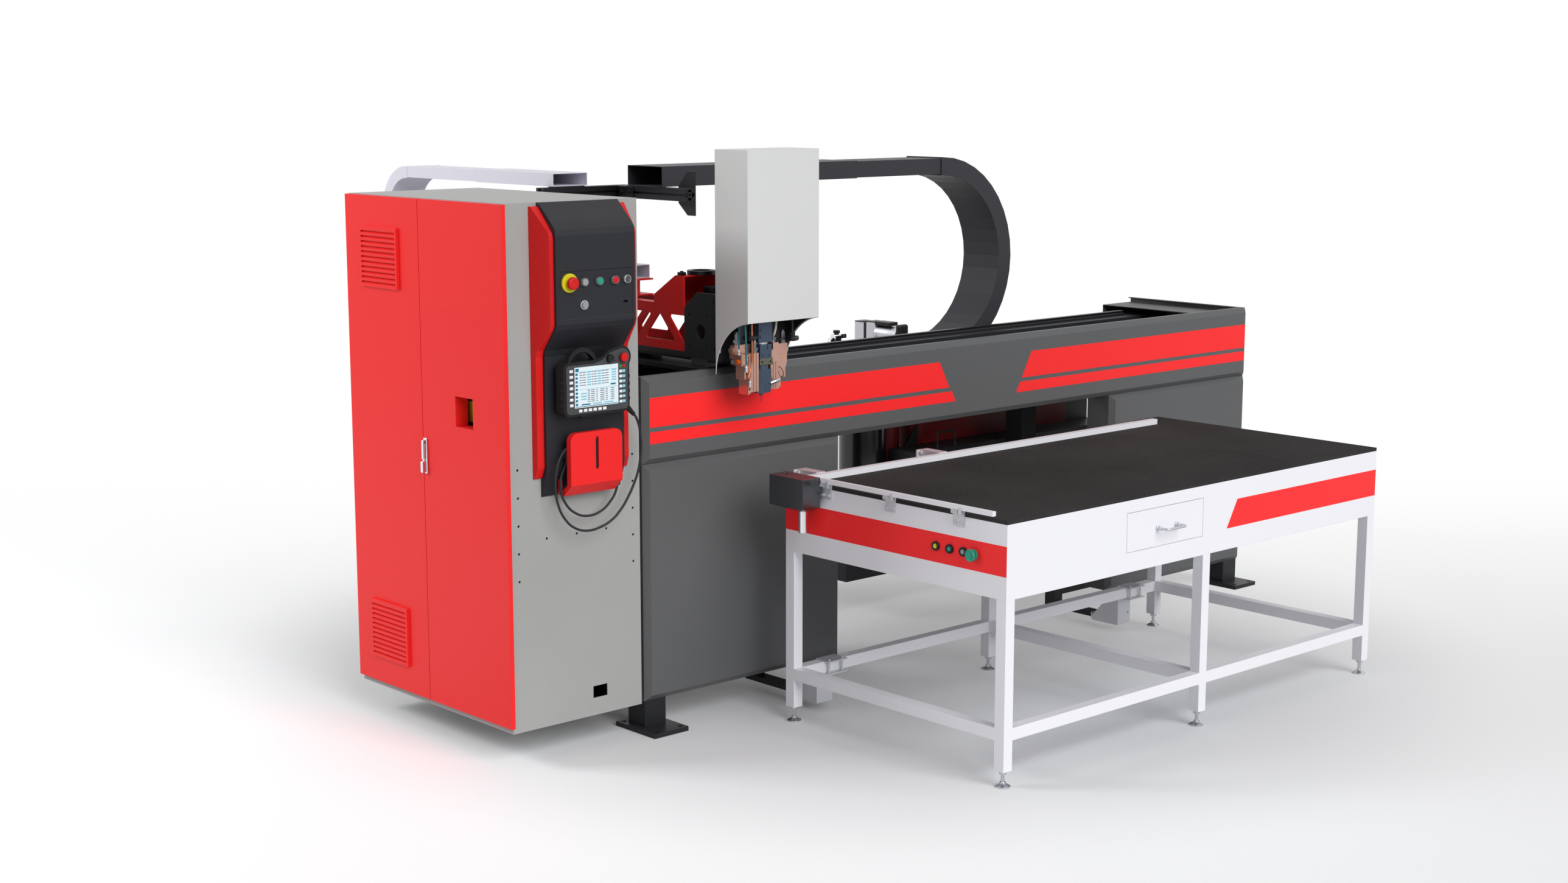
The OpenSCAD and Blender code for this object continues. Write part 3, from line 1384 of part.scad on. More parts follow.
module head_plate() {
  y1 = carrier_y;
  rail_y = head_y1 - column_t - z_rail_d;
  color("#8a8c90") place() {
    block([column_x0 - 5, y1 - carrier_t, 1240], [column_x1 + 5, y1, 1680]);
    block([axis_x - 114, y1 - carrier_t - 5, 1256], [axis_x + 124, y1 - carrier_t, 1290]);
    block([axis_x - 60, y1 - carrier_t - 5, 1190], [axis_x + 60, y1 - carrier_t, 1256]);
    for (x = z_rail_xs) for (z = slide_zs) difference() {
      block([x - 20, y1, z], [x + 20, rail_y + 6, z + 50]);
      block([x - z_rail_w / 2 - seat_gap, rail_y - seat_gap, z - e],
        [x + z_rail_w / 2 + seat_gap, rail_y + 7, z + 51]);
    }
    fitting(axis_x - 40, y1 - 50, 1275, 43);
    fitting(axis_x - 97, y1 - 24, 1303, 44);
    fitting(axis_x + 52, y1 - 38, 1302, 25);
    fitting(axis_x + 110, y1 - 24, 1294, 45);
  }
}

// A block on one side of the spindle: a and b are distances from the axis, s is -1 on the left
module side_block(s, a, b, y0, y1, z0, z1) {
  block([axis_x + min(s * a, s * b), y0, z0], [axis_x + max(s * a, s * b), y1, z1]);
}

// The left valve stack: rear block, tall grooved body, and three valves in steps down to the spindle
module left_valves(yf, yb) {
  side_block(-1, 34, 114, yb - 22, yb, 1256, 1303);
  rod_x(axis_x - 124, 10, yb - 13, 1285, 11);
  difference() {
    side_block(-1, 34, 80, yf + 12, yb - 4, 1144, 1275);
    for (d = [44, 56, 68]) side_block(-1, d, d + 3, yf + 11, yf + 15, 1143, 1276);
  }
  difference() {
    side_block(-1, 78, 115, yf + 8, yb - 20, 1236, 1273);
    side_block(-1, 77, 116, yf + 7, yf + 10, 1262, 1265);
  }
  side_block(-1, 78, 108, yf + 14, yf + 44, 1190, 1240);
  along_y(yf, 44) polygon([[axis_x - 94, 1190], [axis_x - 108, 1193], [axis_x - 108, 1240],
    [axis_x - 94, 1240]]);
  along_y(yf, 48) polygon([[axis_x - 76, 1147], [axis_x - 91, 1138], [axis_x - 91, 1194],
    [axis_x - 76, 1196]]);
}

// The right valve stack: a stepped front block over a narrower one, with two blocks behind them
module right_valves(yf, yb) {
  side_block(1, 40, 65, yf, yb, 1236, 1302);
  side_block(1, 32, 40 + e, yf, yb, 1236, 1279);
  side_block(1, 64, 124, yb - 22, yb, 1257, 1294);
  side_block(1, 64, 115, yb - 30, yb - 4, 1228, 1257 + e);
  side_block(1, 60, 104, yb - 34, yb - 8, 1180, 1228 + e);
  difference() {
    along_y(yf + 6, yb - yf - 12)
      polygon([[axis_x + 34, 1146], [axis_x + 50, 1142], [axis_x + 68, 1142], [axis_x + 80, 1150],
        [axis_x + 80, 1182], [axis_x + 68, 1182], [axis_x + 68, 1236 + e], [axis_x + 34, 1236 + e]]);
    for (d = [44, 56]) side_block(1, d, d + 3, yf + 5, yf + 9, 1140, 1235);
  }
}

module mixing_blocks() {
  yb = carrier_y - carrier_t - 5;
  color("#b98468") place() {
    left_valves(yb - 65, yb);
    right_valves(yb - 43, yb);
  }
}

// A stepped pipe fitting with a hexagon, standing on a valve block
module fitting(x, y, z, h) {
  rod_z(z, 8, x, y, 11);
  translate([x, y, z + 8]) cylinder(h = 9, r = 13, $fn = 6);
  rod_z(z + 17, h - 25, x, y, 8);
  translate([x, y, z + h - 8]) cylinder(h = 8, r1 = 8, r2 = 5);
}

module mixing_spindle() {
  yb = carrier_y - carrier_t - 5;
  f = axis_y - 25;
  color("#3c4a5c") place() {
    block([axis_x - 30, axis_y - 22, 1307], [axis_x + 30, yb, 1460]);
    for (z = [1322, 1344]) block([axis_x - 24, f, z], [axis_x - 12, axis_y - 22, z + 9]);
    rod_z(1300, 7, axis_x, axis_y, 21);
    difference() {
      block([axis_x - 26, axis_y - 24, 1253], [axis_x + 26, yb, 1300]);
      block([axis_x + 6, axis_y - 25, 1282], [axis_x + 10, axis_y - 21, 1301]);
      for (x = [-14, 14]) rod_y(axis_y - 25, 5, axis_x + x, 1262, 3);
    }
    difference() {
      block([axis_x - 29, axis_y - 26, 1231], [axis_x + 29, yb, 1253]);
      for (x = [-19, 19]) rod_y(axis_y - 27, 4, axis_x + x, 1242, 4);
    }
    rod_z(1216, 15, axis_x, axis_y, 24);
    difference() {
      translate([0, 0, 1136]) linear_extrude(80) polygon([[axis_x - 24, f + 9], [axis_x - 15, f],
        [axis_x + 24, f], [axis_x + 29, f + 6],
        [axis_x + 29, yb], [axis_x - 29, yb], [axis_x - 29, f + 14]]);
      rod_z(1150, 60, axis_x, axis_y, 5);
      rod_z(1200 - seat_gap, 17, axis_x, axis_y, 14 + seat_gap);
      block([axis_x + 16, f - e, 1135], [axis_x + 30, f + 9, 1150]);
    }
    rod_z(1126, 10, axis_x, axis_y, 7);
    rod_z(1103, 23, axis_x, axis_y, needle_r);
  }
}

module mixer_shaft() {
  color("#c0c2c6") place() {
    rod_z(1200, 16 - seat_gap, axis_x, axis_y, 14);
    rod_z(1152, 57, axis_x, axis_y, 5 - fit_gap);
  }
}

base_frame();
foot_plates();
front_beam_cover();
left_pedestal_cover();
right_pedestal_cover();
end_cover();
x_rails();
chain_trough();
cabinet_shell();
electrics_plate();
rear_door();
front_door();
swing_handle();
isolator_knob();
console_housing();
console_sides();
panel_fittings();
console_estop();
spare_button();
selector_switch();
pendant_body();
pendant_bumper();
pendant_estop();
pendant_knob();
hook_cover();
pendant_cable();
table_frame();
table_apron();
table_mat();
levelling_feet();
guide_bars();
table_brackets();
drawer();
yellow_button();
green_button();
grey_button();
start_button();
purge_box();
supply_cabinet();
supply_tanks();
pump_drive();
saddle();
guide_blocks();
chain_post();
x_chain_entry();
x_chain_middle();
x_chain_bend();
y_chain_upper();
y_chain_bend();
y_chain_lower();
arm_base();
arm_truss();
drive_hood();
y_drive();
head_cover();
z_column();
head_plate();
mixing_blocks();
mixing_spindle();
mixer_shaft();
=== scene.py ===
import math

import bmesh
import bpy
from mathutils import Matrix, Vector


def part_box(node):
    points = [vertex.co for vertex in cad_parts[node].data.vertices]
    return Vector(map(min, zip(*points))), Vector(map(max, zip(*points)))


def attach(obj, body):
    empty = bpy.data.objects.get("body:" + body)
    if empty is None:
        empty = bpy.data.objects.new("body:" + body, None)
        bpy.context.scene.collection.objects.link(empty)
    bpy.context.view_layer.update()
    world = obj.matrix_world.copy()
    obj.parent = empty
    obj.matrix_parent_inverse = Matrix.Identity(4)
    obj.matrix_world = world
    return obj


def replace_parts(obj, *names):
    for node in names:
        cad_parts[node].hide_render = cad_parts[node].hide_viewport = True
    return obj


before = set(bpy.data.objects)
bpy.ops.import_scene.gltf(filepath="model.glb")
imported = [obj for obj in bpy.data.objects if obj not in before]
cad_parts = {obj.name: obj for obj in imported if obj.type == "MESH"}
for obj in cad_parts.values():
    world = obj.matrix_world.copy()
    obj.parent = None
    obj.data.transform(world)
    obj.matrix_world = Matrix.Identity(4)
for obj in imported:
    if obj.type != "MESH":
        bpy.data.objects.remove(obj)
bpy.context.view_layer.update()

# Camera
# The photograph looks down at the machine's cabinet end and table from a little above
# head height, through a normal lens. Places are given from the table's front left corner.
table_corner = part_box("table_frame")[0]


def at(x, y, z):
    """A place in metres, measured from the floor under the table's front left corner."""
    return Vector((table_corner.x + x, table_corner.y + y, z))


lens_down = 9.4294
lens_turned = 42.2147
camera_data = bpy.data.cameras.new("camera")
camera_data.sensor_fit = "HORIZONTAL"
camera_data.sensor_width = 36
camera_data.lens = 49.92
camera = bpy.data.objects.new("camera", camera_data)
camera.location = at(-4.86593, -4.35061, 2.17481)
camera.rotation_euler = (math.radians(90 - lens_down), 0, math.radians(-lens_turned))
bpy.context.scene.collection.objects.link(camera)
bpy.context.scene.camera = camera

# Pendant cable
# A rubber-sheathed control cable, 8 mm thick. It leaves a strain relief at the pendant's
# lower right corner, is wound round the red hanger's drum and goes into the console's gland.
cable_thick = 0.008
cable_route = [
    (-552, 1128, 1109), (-544, 1129, 1101), (-531, 1136, 1085), (-519, 1141, 1060),
    (-511, 1146, 1030), (-507, 1148, 1000), (-509, 1150, 960), (-518, 1150, 920),
    (-535, 1150, 880), (-560, 1150, 838), (-592, 1150, 798), (-630, 1150, 768),
    (-680, 1150, 750), (-730, 1150, 746), (-780, 1150, 762), (-820, 1149, 798),
    (-845, 1148, 845), (-855, 1147, 895), (-853, 1146, 945), (-838, 1146, 992),
    (-808, 1146, 1026), (-765, 1146, 1047), (-712, 1147, 1057), (-665, 1149, 1042),
    (-630, 1152, 1002), (-609, 1155, 950), (-600, 1158, 905), (-604, 1159, 862),
    (-630, 1160, 825), (-668, 1160, 800), (-720, 1160, 792), (-770, 1160, 808),
    (-808, 1160, 845), (-825, 1160, 890), (-822, 1160, 935), (-806, 1160, 965),
    (-799, 1160, 989)]
cable_places = [at(*(distance / 1000 for distance in knot)) for knot in cable_route]


def paint_colour(red, green, blue):
    """A colour picked as 0 to 255 on a screen, in the linear values that a shader takes."""
    parts = [c / 255 for c in (red, green, blue)]
    return tuple(c / 12.92 if c <= 0.04045 else ((c + 0.055) / 1.055) ** 2.4 for c in parts) + (1.0,)


def shader_group(name, inputs, outputs):
    """A node group with its named sockets, and the two nodes at its ends."""
    group = bpy.data.node_groups.new(name, "ShaderNodeTree")
    for socket, kind, value in inputs:
        made = group.interface.new_socket(socket, in_out="INPUT", socket_type="NodeSocket" + kind)
        made.default_value = value
    for socket, kind in outputs:
        group.interface.new_socket(socket, in_out="OUTPUT", socket_type="NodeSocket" + kind)
    return group, group.nodes.new("NodeGroupInput"), group.nodes.new("NodeGroupOutput")


def feed(tree, socket, value):
    """Sets a socket to a fixed value, or links it to the output that gives the value."""
    if isinstance(value, bpy.types.NodeSocket):
        tree.links.new(value, socket)
    else:
        socket.default_value = value


def sum_node(tree, work, *values):
    """One Math node; each value is a number or an output."""
    node = tree.nodes.new("ShaderNodeMath")
    node.operation = work
    for socket, value in zip(node.inputs, values):
        feed(tree, socket, value)
    return node.outputs[0]


def vector_node(tree, work, *vectors):
    """The number that one Vector Math node gives; each vector is a tuple or an output."""
    node = tree.nodes.new("ShaderNodeVectorMath")
    node.operation = work
    for socket, vector in zip(node.inputs, vectors):
        feed(tree, socket, vector)
    return node.outputs["Value"]


def noise_node(tree, vector, scale, detail):
    """One noise pattern; its scale is a number or an output."""
    node = tree.nodes.new("ShaderNodeTexNoise")
    node.inputs["Detail"].default_value = detail
    feed(tree, node.inputs["Vector"], vector)
    feed(tree, node.inputs["Scale"], scale)
    return node.outputs["Fac"]


# The fine grain and faint clouding that every finish on the machine has.
cloud_scale = 2.3
grain_group, start, end = shader_group(
    "finish_grain",
    [("Colour", "Color", (1, 1, 1, 1)), ("Grain Size", "Float", 600.0), ("Tone", "Float", 0.1),
     ("Roughness", "Float", 0.5), ("Spread", "Float", 0.1)],
    [("Colour", "Color"), ("Roughness", "Float"), ("Height", "Float")])
own_place = grain_group.nodes.new("ShaderNodeTexCoord").outputs["Object"]
grain = noise_node(grain_group, own_place, start.outputs["Grain Size"], 2)
cloud = noise_node(grain_group, own_place, cloud_scale, 4)
uneven = sum_node(grain_group, "SUBTRACT", sum_node(grain_group, "ADD", grain, cloud), 1.0)
tint = grain_group.nodes.new("ShaderNodeHueSaturation")
tone = sum_node(grain_group, "MULTIPLY", uneven, start.outputs["Tone"])
grain_group.links.new(sum_node(grain_group, "ADD", tone, 1.0), tint.inputs["Value"])
grain_group.links.new(start.outputs["Colour"], tint.inputs["Color"])
grain_group.links.new(tint.outputs["Color"], end.inputs["Colour"])
spread = sum_node(grain_group, "MULTIPLY", uneven, start.outputs["Spread"])
rough = sum_node(grain_group, "ADD", spread, start.outputs["Roughness"])
grain_group.links.new(rough, end.inputs["Roughness"])
grain_group.links.new(grain, end.inputs["Height"])

# Where an edge has rounded off and rubbed pale: partly wear, partly a painted highlight along the edge.
bend_gain = 5.0
patch_scale = 60.0
edge_wear_and_highlight_group, start, end = shader_group(
    "edge_wear_and_painted_highlight",
    [("Radius", "Float", 0.001), ("Amount", "Float", 0.3)],
    [("Mask", "Float"), ("Normal", "Vector")])
softened = edge_wear_and_highlight_group.nodes.new("ShaderNodeBevel")
softened.samples = 4
edge_wear_and_highlight_group.links.new(start.outputs["Radius"], softened.inputs["Radius"])
flat = edge_wear_and_highlight_group.nodes.new("ShaderNodeNewGeometry")
turn = vector_node(edge_wear_and_highlight_group, "DOT_PRODUCT", softened.outputs["Normal"], flat.outputs["Normal"])
bend = sum_node(edge_wear_and_highlight_group, "MULTIPLY", sum_node(edge_wear_and_highlight_group, "SUBTRACT", 1.0, turn), bend_gain)
own_place = edge_wear_and_highlight_group.nodes.new("ShaderNodeTexCoord").outputs["Object"]
patchy = noise_node(edge_wear_and_highlight_group, own_place, patch_scale, 3)
rub_and_highlight = sum_node(edge_wear_and_highlight_group, "MULTIPLY", sum_node(edge_wear_and_highlight_group, "MINIMUM", bend, 1.0), patchy)
edge_wear_and_highlight_group.links.new(sum_node(edge_wear_and_highlight_group, "MULTIPLY", rub_and_highlight, start.outputs["Amount"]), end.inputs["Mask"])
edge_wear_and_highlight_group.links.new(softened.outputs["Normal"], end.inputs["Normal"])

# Dust that settles on what faces up.
dust_scale = 11.0
dust_colour = (150, 147, 140)
dust_group, start, end = shader_group("settled_dust", [("Amount", "Float", 0.1)], [("Mask", "Float")])
facing = dust_group.nodes.new("ShaderNodeSeparateXYZ")
dust_group.links.new(dust_group.nodes.new("ShaderNodeNewGeometry").outputs["Normal"], facing.inputs[0])
upward = sum_node(dust_group, "MAXIMUM", facing.outputs["Z"], 0.0)
own_place = dust_group.nodes.new("ShaderNodeTexCoord").outputs["Object"]
lying = sum_node(dust_group, "MULTIPLY", upward, noise_node(dust_group, own_place, dust_scale, 6))
dust_group.links.new(sum_node(dust_group, "MULTIPLY", lying, start.outputs["Amount"]), end.inputs["Mask"])

relief_depth = 0.0004


def finish(name, colour, roughness, metallic=0.0, grain_size=700.0, relief=0.1, tone=0.06, spread=0.08,
           edge=0.001, edge_wear_and_highlight=0.1, edge_wear_and_highlight_colour=(190, 190, 190), dust=0.05, coat=0.0, shine=0.25):
    """A material with grain, softened edges that are rubbed pale as wear and as a painted highlight, and a
    little dust.
    """
    made = bpy.data.materials.new(name)
    made.use_nodes = True
    tree = made.node_tree
    shader = tree.nodes["Principled BSDF"]
    shader.inputs["Metallic"].default_value = metallic
    shader.inputs["Coat Weight"].default_value = coat
    shader.inputs["Specular IOR Level"].default_value = shine if metallic == 0 else 0.5

    def placed(group, **values):
        node = tree.nodes.new("ShaderNodeGroup")
        node.node_tree = group
        for socket, value in values.items():
            node.inputs[socket.replace("_", " ")].default_value = value
        return node

    def mixed(mask, below, above):
        node = tree.nodes.new("ShaderNodeMix")
        node.data_type = "RGBA"
        tree.links.new(mask, node.inputs["Factor"])
        tree.links.new(below, node.inputs["A"])
        node.inputs["B"].default_value = paint_colour(*above)
        return node.outputs["Result"]

    skin = placed(grain_group, Colour=paint_colour(*colour), Grain_Size=grain_size, Tone=tone,
                  Roughness=roughness, Spread=spread)
    edges = placed(edge_wear_and_highlight_group, Radius=edge, Amount=edge_wear_and_highlight)
    settled = placed(dust_group, Amount=dust)
    # Edges are mixed towards a pale colour, partly as wear and partly as a painted highlight.
    worn_and_highlit = mixed(edges.outputs["Mask"], skin.outputs["Colour"], edge_wear_and_highlight_colour)
    tree.links.new(mixed(settled.outputs["Mask"], worn_and_highlit, dust_colour), shader.inputs["Base Color"])
    tree.links.new(skin.outputs["Roughness"], shader.inputs["Roughness"])
    bump = tree.nodes.new("ShaderNodeBump")
    bump.inputs["Strength"].default_value = relief
    bump.inputs["Distance"].default_value = relief_depth
    tree.links.new(skin.outputs["Height"], bump.inputs["Height"])
    tree.links.new(edges.outputs["Normal"], bump.inputs["Normal"])
    tree.links.new(bump.outputs["Normal"], shader.inputs["Normal"])
    return made


def dress(material, *names):
    """Gives carried-over CAD nodes their finish."""
    for name in names:
        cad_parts[name].data.materials.clear()
        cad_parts[name].data.materials.append(material)


def bent_line(name, places, radius, steps):
    """A round line of one thickness through its places, with smooth bends and closed ends."""
    curve = bpy.data.curves.new(name, "CURVE")
    curve.dimensions = "3D"
    curve.bevel_depth = radius
    curve.bevel_resolution = 4
    curve.resolution_u = steps
    curve.use_fill_caps = True
    run = curve.splines.new("BEZIER")
    run.bezier_points.add(len(places) - 1)
    for knot, place in zip(run.bezier_points, places):
        knot.co = place
        knot.handle_left_type = knot.handle_right_type = "AUTO"
    piece = bpy.data.objects.new(name, curve)
    bpy.context.scene.collection.objects.link(piece)
    return piece


cable_rubber = finish("cable_rubber", (40, 41, 44), 0.5, grain_size=900, relief=0.2, dust=0.04)
cable = bent_line("wound_cable", cable_places, cable_thick / 2, 6)
cable.data.materials.append(cable_rubber)
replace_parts(cable, "pendant_cable")
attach(cable, "machine_base")

# Base frame and foot plates
# Welded square tube, sprayed black; the foot plates are flame-cut and drilled for anchors. The
# bridge's saddle and the supply unit's chassis and tanks have the same paint.
black_paint = finish("black_paint", (34, 35, 38), 0.42, grain_size=420, relief=0.2, tone=0.12, edge_wear_and_highlight=0.06,
                     dust=0.03, shine=0.2)
dress(black_paint, "base_frame", "foot_plates", "saddle", "supply_tanks")

# Beam and pedestal covers
# Folded sheet steel with a bevel all round, powder coated dark grey. Two cut red vinyl bands
# run along the beam and stop short of the bare middle.
dark_cover = finish("dark_cover", (90, 91, 92), 0.5, grain_size=520, relief=0.12, tone=0.05, edge_wear_and_highlight=0.04,
                    dust=0.0)
dress(dark_cover, "front_beam_cover", "left_pedestal_cover", "right_pedestal_cover", "end_cover")
red_vinyl = finish("red_vinyl", (255, 42, 44), 0.38, grain_size=300, relief=0.04, tone=0.03, edge=0.0003,
                   edge_wear_and_highlight=0.0, dust=0.02)
vinyl_thick = 0.0006
vinyl_bevel = vinyl_thick * 0.4


def alone():
    """Nothing stays selected, so that the next operator reaches one piece only."""
    if bpy.context.object and bpy.context.object.mode != "OBJECT":
        bpy.ops.object.mode_set(mode="OBJECT")
    bpy.ops.object.select_all(action="DESELECT")


def seat(name, material, body):
    """Names the piece in hand, puts its place into its mesh, and gives it its finish and its body."""
    piece = bpy.context.object
    piece.name = name
    piece.data.name = name
    bpy.ops.object.transform_apply(location=True, rotation=True, scale=True)
    piece.data.materials.clear()
    piece.data.materials.append(material)
    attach(piece, body)
    return piece


def thicken(thick, bevel):
    """Gives the sheet in hand its thickness outwards and softens its cut edges."""
    wall = bpy.context.object.modifiers.new("wall", "SOLIDIFY")
    wall.thickness = thick
    wall.offset = 1
    bpy.ops.object.modifier_apply(modifier=wall.name)
    soft = bpy.context.object.modifiers.new("soft", "BEVEL")
    soft.width = bevel
    soft.segments = 1
    bpy.ops.object.modifier_apply(modifier=soft.name)


def vinyl_band(name, side, left, right, low, high, face, slant_left=0.0, slant_right=0.0):
    """A cut band on an upright face: its top corners are pushed sideways by the slants."""
    alone()
    front = side == "front"
    across = (left + right) / 2
    height = (low + high) / 2
    middle = at(across, face, height) if front else at(face, across, height)
    turned = (math.pi / 2, 0, 0 if front else -math.pi / 2)
    bpy.ops.mesh.primitive_plane_add(size=1, location=middle, rotation=turned)
    band = bpy.context.object
    band.scale = (right - left, high - low, 1)
    bpy.ops.object.transform_apply(location=False, rotation=False, scale=True)
    bpy.ops.object.mode_set(mode="EDIT")
    for end_sign, slant in ((-1, slant_left), (1, slant_right)):
        mesh = bmesh.from_edit_mesh(band.data)
        for corner in mesh.verts:
            corner.select = corner.co.y > 0 and corner.co.x * end_sign > 0
        mesh.select_flush(True)
        bmesh.update_edit_mesh(band.data)
        along = (slant, 0, 0) if front else (0, slant, 0)
        bpy.ops.transform.translate(value=along)
    bpy.ops.object.mode_set(mode="OBJECT")
    thicken(vinyl_thick, vinyl_bevel)
    return seat(name, red_vinyl, "machine_base")


beam_face = 1.203
flat_left = -0.427
flat_right = 2.847
cut_slope = 0.54
beam_bands = [("wide", 1.041, 1.141, 1.008, 1.413), ("narrow", 0.986, 1.026, 1.043, 1.382)]
for width, low, high, left_end, right_start in beam_bands:
    lean = cut_slope * (high - low)
    vinyl_band(width + "_beam_band_left", "front", flat_left, left_end, low, high, beam_face, 0, -lean)
    vinyl_band(width + "_beam_band_right", "front", right_start, flat_right, low, high, beam_face, lean, 0)

# Rails and unpainted steel
# Ground guide rails with a blackened surface, bolted to the beams. The levelling feet and the
# mixer shaft are bright, and the guide blocks and the head's carrier plate are dull as milled.
rail_steel = finish("rail_steel", (58, 59, 62), 0.4, metallic=1.0, grain_size=260, relief=0.05, tone=0.1,
                    edge_wear_and_highlight=0.03)
bright_steel = finish("bright_steel", (196, 198, 202), 0.24, metallic=1.0, grain_size=500, relief=0.05,
                      tone=0.05)
plate_steel = finish("plate_steel", (120, 122, 126), 0.36, metallic=1.0, grain_size=320, relief=0.08,
                     tone=0.12)
dress(rail_steel, "x_rails")
dress(bright_steel, "levelling_feet", "mixer_shaft")
dress(plate_steel, "guide_blocks", "head_plate")

# Cabinet
# A grey powder-coated enclosure with two red sheet doors. The yellow main switch shows through
# a square window in the front door, with a drilled yellow plate round its shaft.
cabinet_grey = finish("cabinet_grey", (160, 161, 159), 0.48, grain_size=300, relief=0.16, tone=0.14)
red_paint = finish("red_paint", (238, 36, 36), 0.4, grain_size=480, relief=0.1, tone=0.05, edge_wear_and_highlight=0.08)
yellow_plastic = finish("yellow_plastic", (216, 206, 30), 0.35, relief=0.04, tone=0.03, coat=0.2)
electrics = finish("electrics", (200, 201, 196), 0.5, tone=0.15)
dress(cabinet_grey, "cabinet_shell")
dress(red_paint, "rear_door", "front_door", "hook_cover")
dress(yellow_plastic, "isolator_knob")
dress(electrics, "electrics_plate")
drill_depth = 0.02


def block(low, high, bevel, segments=2):
    """A solid block between two corners with its edges bevelled."""
    alone()
    bpy.ops.mesh.primitive_cube_add(size=1, location=(Vector(low) + Vector(high)) / 2)
    piece = bpy.context.object
    piece.scale = Vector(high) - Vector(low)
    bpy.ops.object.transform_apply(location=True, rotation=True, scale=True)
    bpy.ops.object.mode_set(mode="EDIT")
    bpy.ops.mesh.select_all(action="SELECT")
    bpy.ops.mesh.bevel(offset=bevel, segments=segments, profile=0.5)
    bpy.ops.object.mode_set(mode="OBJECT")
    return piece


def drilled(piece, radius, place, turned):
    """Cuts a round hole through the piece; the cutting tool is thrown away."""
    bpy.ops.mesh.primitive_cylinder_add(radius=radius, depth=drill_depth, location=place, rotation=turned)
    tool = bpy.context.object
    bite = piece.modifiers.new("bite", "BOOLEAN")
    bite.operation = "DIFFERENCE"
    bite.object = tool
    alone()
    piece.select_set(True)
    bpy.context.view_layer.objects.active = piece
    bpy.ops.object.modifier_apply(modifier=bite.name)
    bpy.data.objects.remove(tool)
    return piece


switch_hole = 0.026
switch_plate = block(at(-0.9455, 1.3860, 1.0850), at(-0.9442, 1.4960, 1.1530), 0.0004)
drilled(switch_plate, switch_hole, at(-0.945, 1.4195, 1.119), (0, math.pi / 2, 0))
seat("switch_plate", yellow_plastic, "machine_base")

# Swing handle
# Chromed zinc casting: a long escutcheon with round ends on the front door, and the lever that
# folds into it, turning on a round pivot at its upper end.
chrome = finish("chrome", (222, 224, 228), 0.12, metallic=1.0, grain_size=500, relief=0.02, tone=0.03,
                edge_wear_and_highlight=0.0)
black_plastic = finish("black_plastic", (24, 25, 27), 0.4, relief=0.08, tone=0.05, edge=0.002)
handle_y = 1.645
door_face = -1.0103
pivot_height = 1.006
leftwards = (-1, 0, 0)


def turned_piece(steps, foot, axis, sides=40):
    """A round piece made from the foot up: each step is (height, radius), and the last is closed."""
    alone()
    first_height, first_radius = steps[0]
    bpy.ops.mesh.primitive_circle_add(vertices=sides, radius=first_radius, fill_type="NGON",
                                      location=(0, 0, first_height))
    piece = bpy.context.object
    bpy.ops.object.transform_apply(location=True)
    bpy.ops.object.mode_set(mode="EDIT")
    bpy.ops.mesh.select_all(action="SELECT")
    for (low, narrow), (high, wide) in zip(steps, steps[1:]):
        bpy.ops.mesh.extrude_region_move(TRANSFORM_OT_translate={"value": (0, 0, high - low)})
        bpy.ops.transform.resize(value=(wide / narrow, wide / narrow, 1), center_override=(0, 0, high))
    bpy.ops.mesh.select_all(action="SELECT")
    bpy.ops.mesh.normals_make_consistent(inside=False)
    bpy.ops.object.mode_set(mode="OBJECT")
    bpy.ops.object.shade_smooth_by_angle(angle=math.radians(35))
    piece.matrix_world = Matrix.Translation(foot) @ Vector(axis).to_track_quat("Z", "Y").to_matrix().to_4x4()
    return piece


def one_piece(*parts):
    """Joins finished parts into one piece."""
    alone()
    for part in parts:
        part.select_set(True)
    bpy.context.view_layer.objects.active = parts[0]
    bpy.ops.object.join()
    return parts[0]


def handle_block(out, inner, half_wide, low, high, bevel, segments):
    """A block on the handle's middle line, between two distances out from the door."""
    return block(at(door_face - out, handle_y - half_wide, low),
                 at(door_face - inner, handle_y + half_wide, high), bevel, segments)


block(at(door_face - 0.007, handle_y - 0.011, 0.9015), at(door_face + 0.0005, handle_y + 0.0085, 1.0205),
      0.003, 3)
seat("handle_plate", chrome, "front_door")
lever = handle_block(0.0172, 0.0076, 0.0055, 0.9485, 1.0135, 0.0035, 4)
grip = handle_block(0.0212, 0.0076, 0.0065, 0.9050, 0.9440, 0.003, 4)
neck = handle_block(0.0130, 0.0080, 0.0040, 0.9400, 0.9520, 0.0005, 1)
one_piece(lever, grip, neck)
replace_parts(seat("handle_lever", chrome, "swing_handle"), "swing_handle")
# A thin black disc behind the lever's upper end: painted shade in the gap round the pivot.
turned_piece([(0, 0.0078), (0.0004, 0.0078), (0.0006, 0.0075)], at(door_face - 0.007, handle_y, pivot_height),
             leftwards)
seat("handle_pivot_painted_shade", black_plastic, "front_door")

# Console
# A black moulded housing on the cabinet's front with red side pieces. Each lamp is a steel
# ring round a domed lens; the emergency stop stands on a yellow collar.
console_black = finish("console_black", (34, 35, 40), 0.5, grain_size=600, relief=0.18, tone=0.05, edge=0.004,
                       edge_wear_and_highlight=0.05)
red_side = finish("red_side", (214, 26, 26), 0.4, grain_size=480, relief=0.1, tone=0.05, edge=0.004,
                  edge_wear_and_highlight=0.05)
red_plastic = finish("red_plastic", (206, 12, 14), 0.36, relief=0.04, tone=0.03, edge=0.002, edge_wear_and_highlight=0.02,
                     dust=0.0, shine=0.35)
teal_plastic = finish("teal_plastic", (20, 150, 122), 0.34, relief=0.04, tone=0.04, edge=0.002, coat=0.3)
grey_plastic = finish("grey_plastic", (146, 150, 152), 0.4, relief=0.05, tone=0.05, edge=0.002)
lens_grey = finish("lens_grey", (150, 154, 156), 0.3, relief=0.03, tone=0.03, edge=0.001, edge_wear_and_highlight=0.03,
                   coat=0.3)
